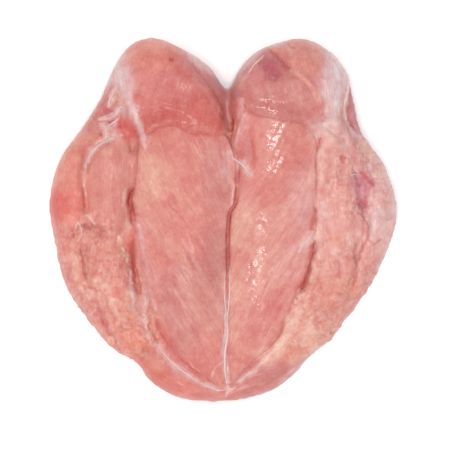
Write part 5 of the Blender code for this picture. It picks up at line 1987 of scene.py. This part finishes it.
@dataclass
class FatNodules:
    """Small soft lumps of fat in the folds of the ragged rib edges, with sizes in mm."""

    surface: bpy.types.Object
    finish: PlainFinish
    spacing: float = 2.8
    size: float = 0.9
    least_scale: tuple[float, float, float] = (0.8, 0.7, 0.12)
    most_scale: tuple[float, float, float] = (2.2, 1.5, 0.25)
    stray_scale: float = 900.0
    spread: float = 1.5
    full_spread: float = 1.3
    least_tilt: float = 0.3
    density: float = 900000.0
    roundness: int = 3
    seed: int = 11

    def beds(self) -> bpy.types.Object:
        """Copy of the meat with the lumps' density painted on it."""
        mesh = self.surface.data.copy()
        skin = Skin.of(mesh)
        x, y = skin.places[:, 0] + MIDDLE[0], skin.places[:, 1] + MIDDLE[1]
        density = np.zeros(len(x))
        for stroke in STROKES:
            if stroke.tissue is Tissue.FAT and len(stroke.path) > 1:
                away, _ = near_path(x, y, stroke.path)
                share = self.full_spread - away / (self.spread * stroke.half_width)
                density = np.maximum(density, np.clip(share, 0, 1))
        density *= skin.normals[:, 2] > self.least_tilt
        write_attribute(mesh, "fat", "FLOAT", density)
        return link_new("fat_nodules", mesh)

    def tree(self, material: bpy.types.Material) -> GeometryTree:
        """Make the tree that scatters squashed lumps by the painted density.

        Args:
            material: The lumps' material.

        Returns:
            The tree, ready to run.
        """
        sockets: dict[str, tuple[str, Any]] = {
            "Spacing": ("NodeSocketFloat", self.spacing * MM),
            "Size": ("NodeSocketFloat", self.size * MM),
            "Seed": ("NodeSocketInt", self.seed),
            "Material": ("NodeSocketMaterial", material),
        }
        tree = GeometryTree("lumps of fat", sockets)
        graph = tree.graph
        real = graph.feed("GeometryNodeRealizeInstances", {0: self.lumps(tree)})
        place = graph.add("GeometryNodeInputPosition").outputs[0]
        stray = graph.stray(place, self.stray_scale, tree.given("Size"))
        inputs = {"Geometry": real.outputs[0], "Offset": stray}
        lumpy = graph.feed("GeometryNodeSetPosition", inputs)
        tree.finish(lumpy.outputs[0], tree.given("Material"))
        return tree

    def lumps(self, tree: GeometryTree) -> Any:
        """Spread squashed balls of random sizes over the painted meat.

        Args:
            tree: The tree, with its inputs.

        Returns:
            Socket of the balls, as instances.
        """
        graph = tree.graph
        painted = graph.feed("GeometryNodeInputNamedAttribute", {"Name": "fat"}, data_type="FLOAT")
        inputs = {
            "Mesh": tree.given("Geometry"),
            "Distance Min": tree.given("Spacing"),
            "Density Max": self.density,
            "Density Factor": painted.outputs["Attribute"],
            "Seed": tree.given("Seed"),
        }
        kind = "GeometryNodeDistributePointsOnFaces"
        spots = graph.feed(kind, inputs, distribute_method="POISSON")
        inputs = {"Radius": tree.given("Size"), "Subdivisions": self.roundness}
        ball = graph.feed("GeometryNodeMeshIcoSphere", inputs)
        inputs = {"Min": self.least_scale, "Max": self.most_scale, "Seed": tree.given("Seed")}
        sizes = graph.feed("FunctionNodeRandomValue", inputs, data_type="FLOAT_VECTOR")
        inputs = {
            "Points": spots.outputs["Points"],
            "Rotation": spots.outputs["Rotation"],
            "Instance": ball.outputs["Mesh"],
            "Scale": sizes.outputs[0],
        }
        return graph.feed("GeometryNodeInstanceOnPoints", inputs).outputs[0]

    def dress(self) -> bpy.types.Object:
        """Make the lumps and hang them under the root body."""
        piece = self.beds()
        self.tree(self.finish.make()).run(piece)
        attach(piece, "root")
        LOG.info("fat nodules: %d faces", len(piece.data.polygons))
        return piece


@dataclass(frozen=True)
class Lamp:
    """A square area light: its place and side in metres, and its power."""

    name: str
    place: tuple[float, float, float]
    side: float
    power: float

    def hang(self) -> None:
        """Add the light, aimed at the middle of the meat."""
        light = bpy.data.lights.new(self.name, "AREA")
        light.shape = "SQUARE"
        light.size = self.side
        light.energy = self.power
        lamp = link_new(self.name, light)
        lamp.location = self.place
        lamp.rotation_euler = direction_angles(-np.array(self.place))


def direction_angles(aim: Array) -> tuple[float, float, float]:
    """Euler angles that turn a lamp's -Z axis to a direction."""
    flat = float(np.hypot(aim[0], aim[1]))
    tilt = float(np.arctan2(flat, -aim[2]))
    turn = float(np.arctan2(-aim[0], aim[1]))
    return (tilt, 0.0, turn)


@dataclass(frozen=True)
class Studio:
    """Plain white floor, soft light and a camera straight above, in metres."""

    floor_half: float = 1.5
    floor_colour: tuple[float, float, float] = (0.95, 0.95, 0.95)
    floor_roughness: float = 0.9
    camera_x: float = 0.001
    camera_y: float = -0.00255
    camera_height: float = 1.6
    camera_reach: float = 10.0
    view_width: float = 0.225
    view_plane: float = 0.008
    sensor: float = 36.0
    sky: float = 0.8
    lamps: tuple[Lamp, ...] = (
        Lamp("key", (-0.32, 0.40, 1.35), 1.2, 7.4),
        Lamp("glint", (0.16, 0.18, 1.3), 0.17, 3.2),
        Lamp("low glint", (-0.06, -0.36, 1.3), 0.14, 2.0),
        Lamp("cap glint", (-0.22, -0.74, 1.0), 0.18, 4.6),
    )

    def dress(self) -> None:
        """Add the floor, the lights, the sky and the camera."""
        self.lay_floor()
        for lamp in self.lamps:
            lamp.hang()
        self.light_sky()
        self.set_camera()
        LOG.info("studio is set")

    def lay_floor(self) -> None:
        """Add the floor as a plain square."""
        half = self.floor_half
        mesh = bpy.data.meshes.new("floor")
        corners = [(-half, -half, 0), (half, -half, 0), (half, half, 0), (-half, half, 0)]
        mesh.from_pydata(corners, [], [(0, 1, 2, 3)])
        mesh.materials.append(PlainFinish("floor", self.floor_colour, self.floor_roughness).make())
        link_new("floor", mesh)

    def light_sky(self) -> None:
        """Light the scene evenly from all round."""
        world = bpy.data.worlds.new("sky")
        world.use_nodes = True
        background = world.node_tree.nodes["Background"]
        background.inputs["Color"].default_value = (1.0, 1.0, 1.0, 1.0)
        background.inputs["Strength"].default_value = self.sky
        bpy.context.scene.world = world

    def set_camera(self) -> None:
        """Look straight down, with the meat as large as in the photograph."""
        view = bpy.data.cameras.new("camera")
        view.sensor_width = self.sensor
        view.lens = self.sensor * self.camera_height / self.view_width
        view.clip_end = self.camera_reach
        camera = link_new("camera", view)
        height = self.camera_height + self.view_plane
        camera.location = (self.camera_x, self.camera_y, height)
        bpy.context.scene.camera = camera
        bpy.context.scene.view_settings.view_transform = "Standard"


def main() -> None:
    """Build the meat, its sinew and fat, and the studio."""
    logging.basicConfig(level=logging.INFO, format="%(message)s")
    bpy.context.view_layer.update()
    breast = BreastPiece(
        name="breast_meat",
        nodes=("breast",),
        slot="breast_meat",
        form=BREAST,
        patches=PATCHES,
        triangles=BREAST_TRIANGLES,
        finish=MeatFinish("breast meat"),
        seed=100,
    ).dress()
    tender_finish = MeatFinish("tender meat", fibre_tint=0.20, dry_roughness=0.52)
    tenders = []
    for side, form, patches, seed in (
        ("left", BREAST.beds[0], LEFT_TENDER_PATCHES, 200),
        ("right", BREAST.beds[1], RIGHT_TENDER_PATCHES, 300),
    ):
        piece = MeatPiece(
            name=f"tenderloin_{side}",
            nodes=(f"tender_{side}",),
            slot="tender_meat",
            form=form,
            patches=patches,
            triangles=TENDER_TRIANGLES,
            finish=tender_finish,
            seed=seed,
        )
        tenders.append(piece.dress())
    sinew = PlainFinish("sinew", tuple(Tone.SINEW.albedo), 0.35, scatter=0.3, speckle=0.08)
    SinewWeb((breast, *tenders), sinew).dress()
    fat = PlainFinish("fat", tuple(Tone.FAT.albedo), 0.4, scatter=0.3, speckle=0.08)
    FatNodules(breast, fat).dress()
    Studio().dress()


if __name__ == "__main__":
    main()
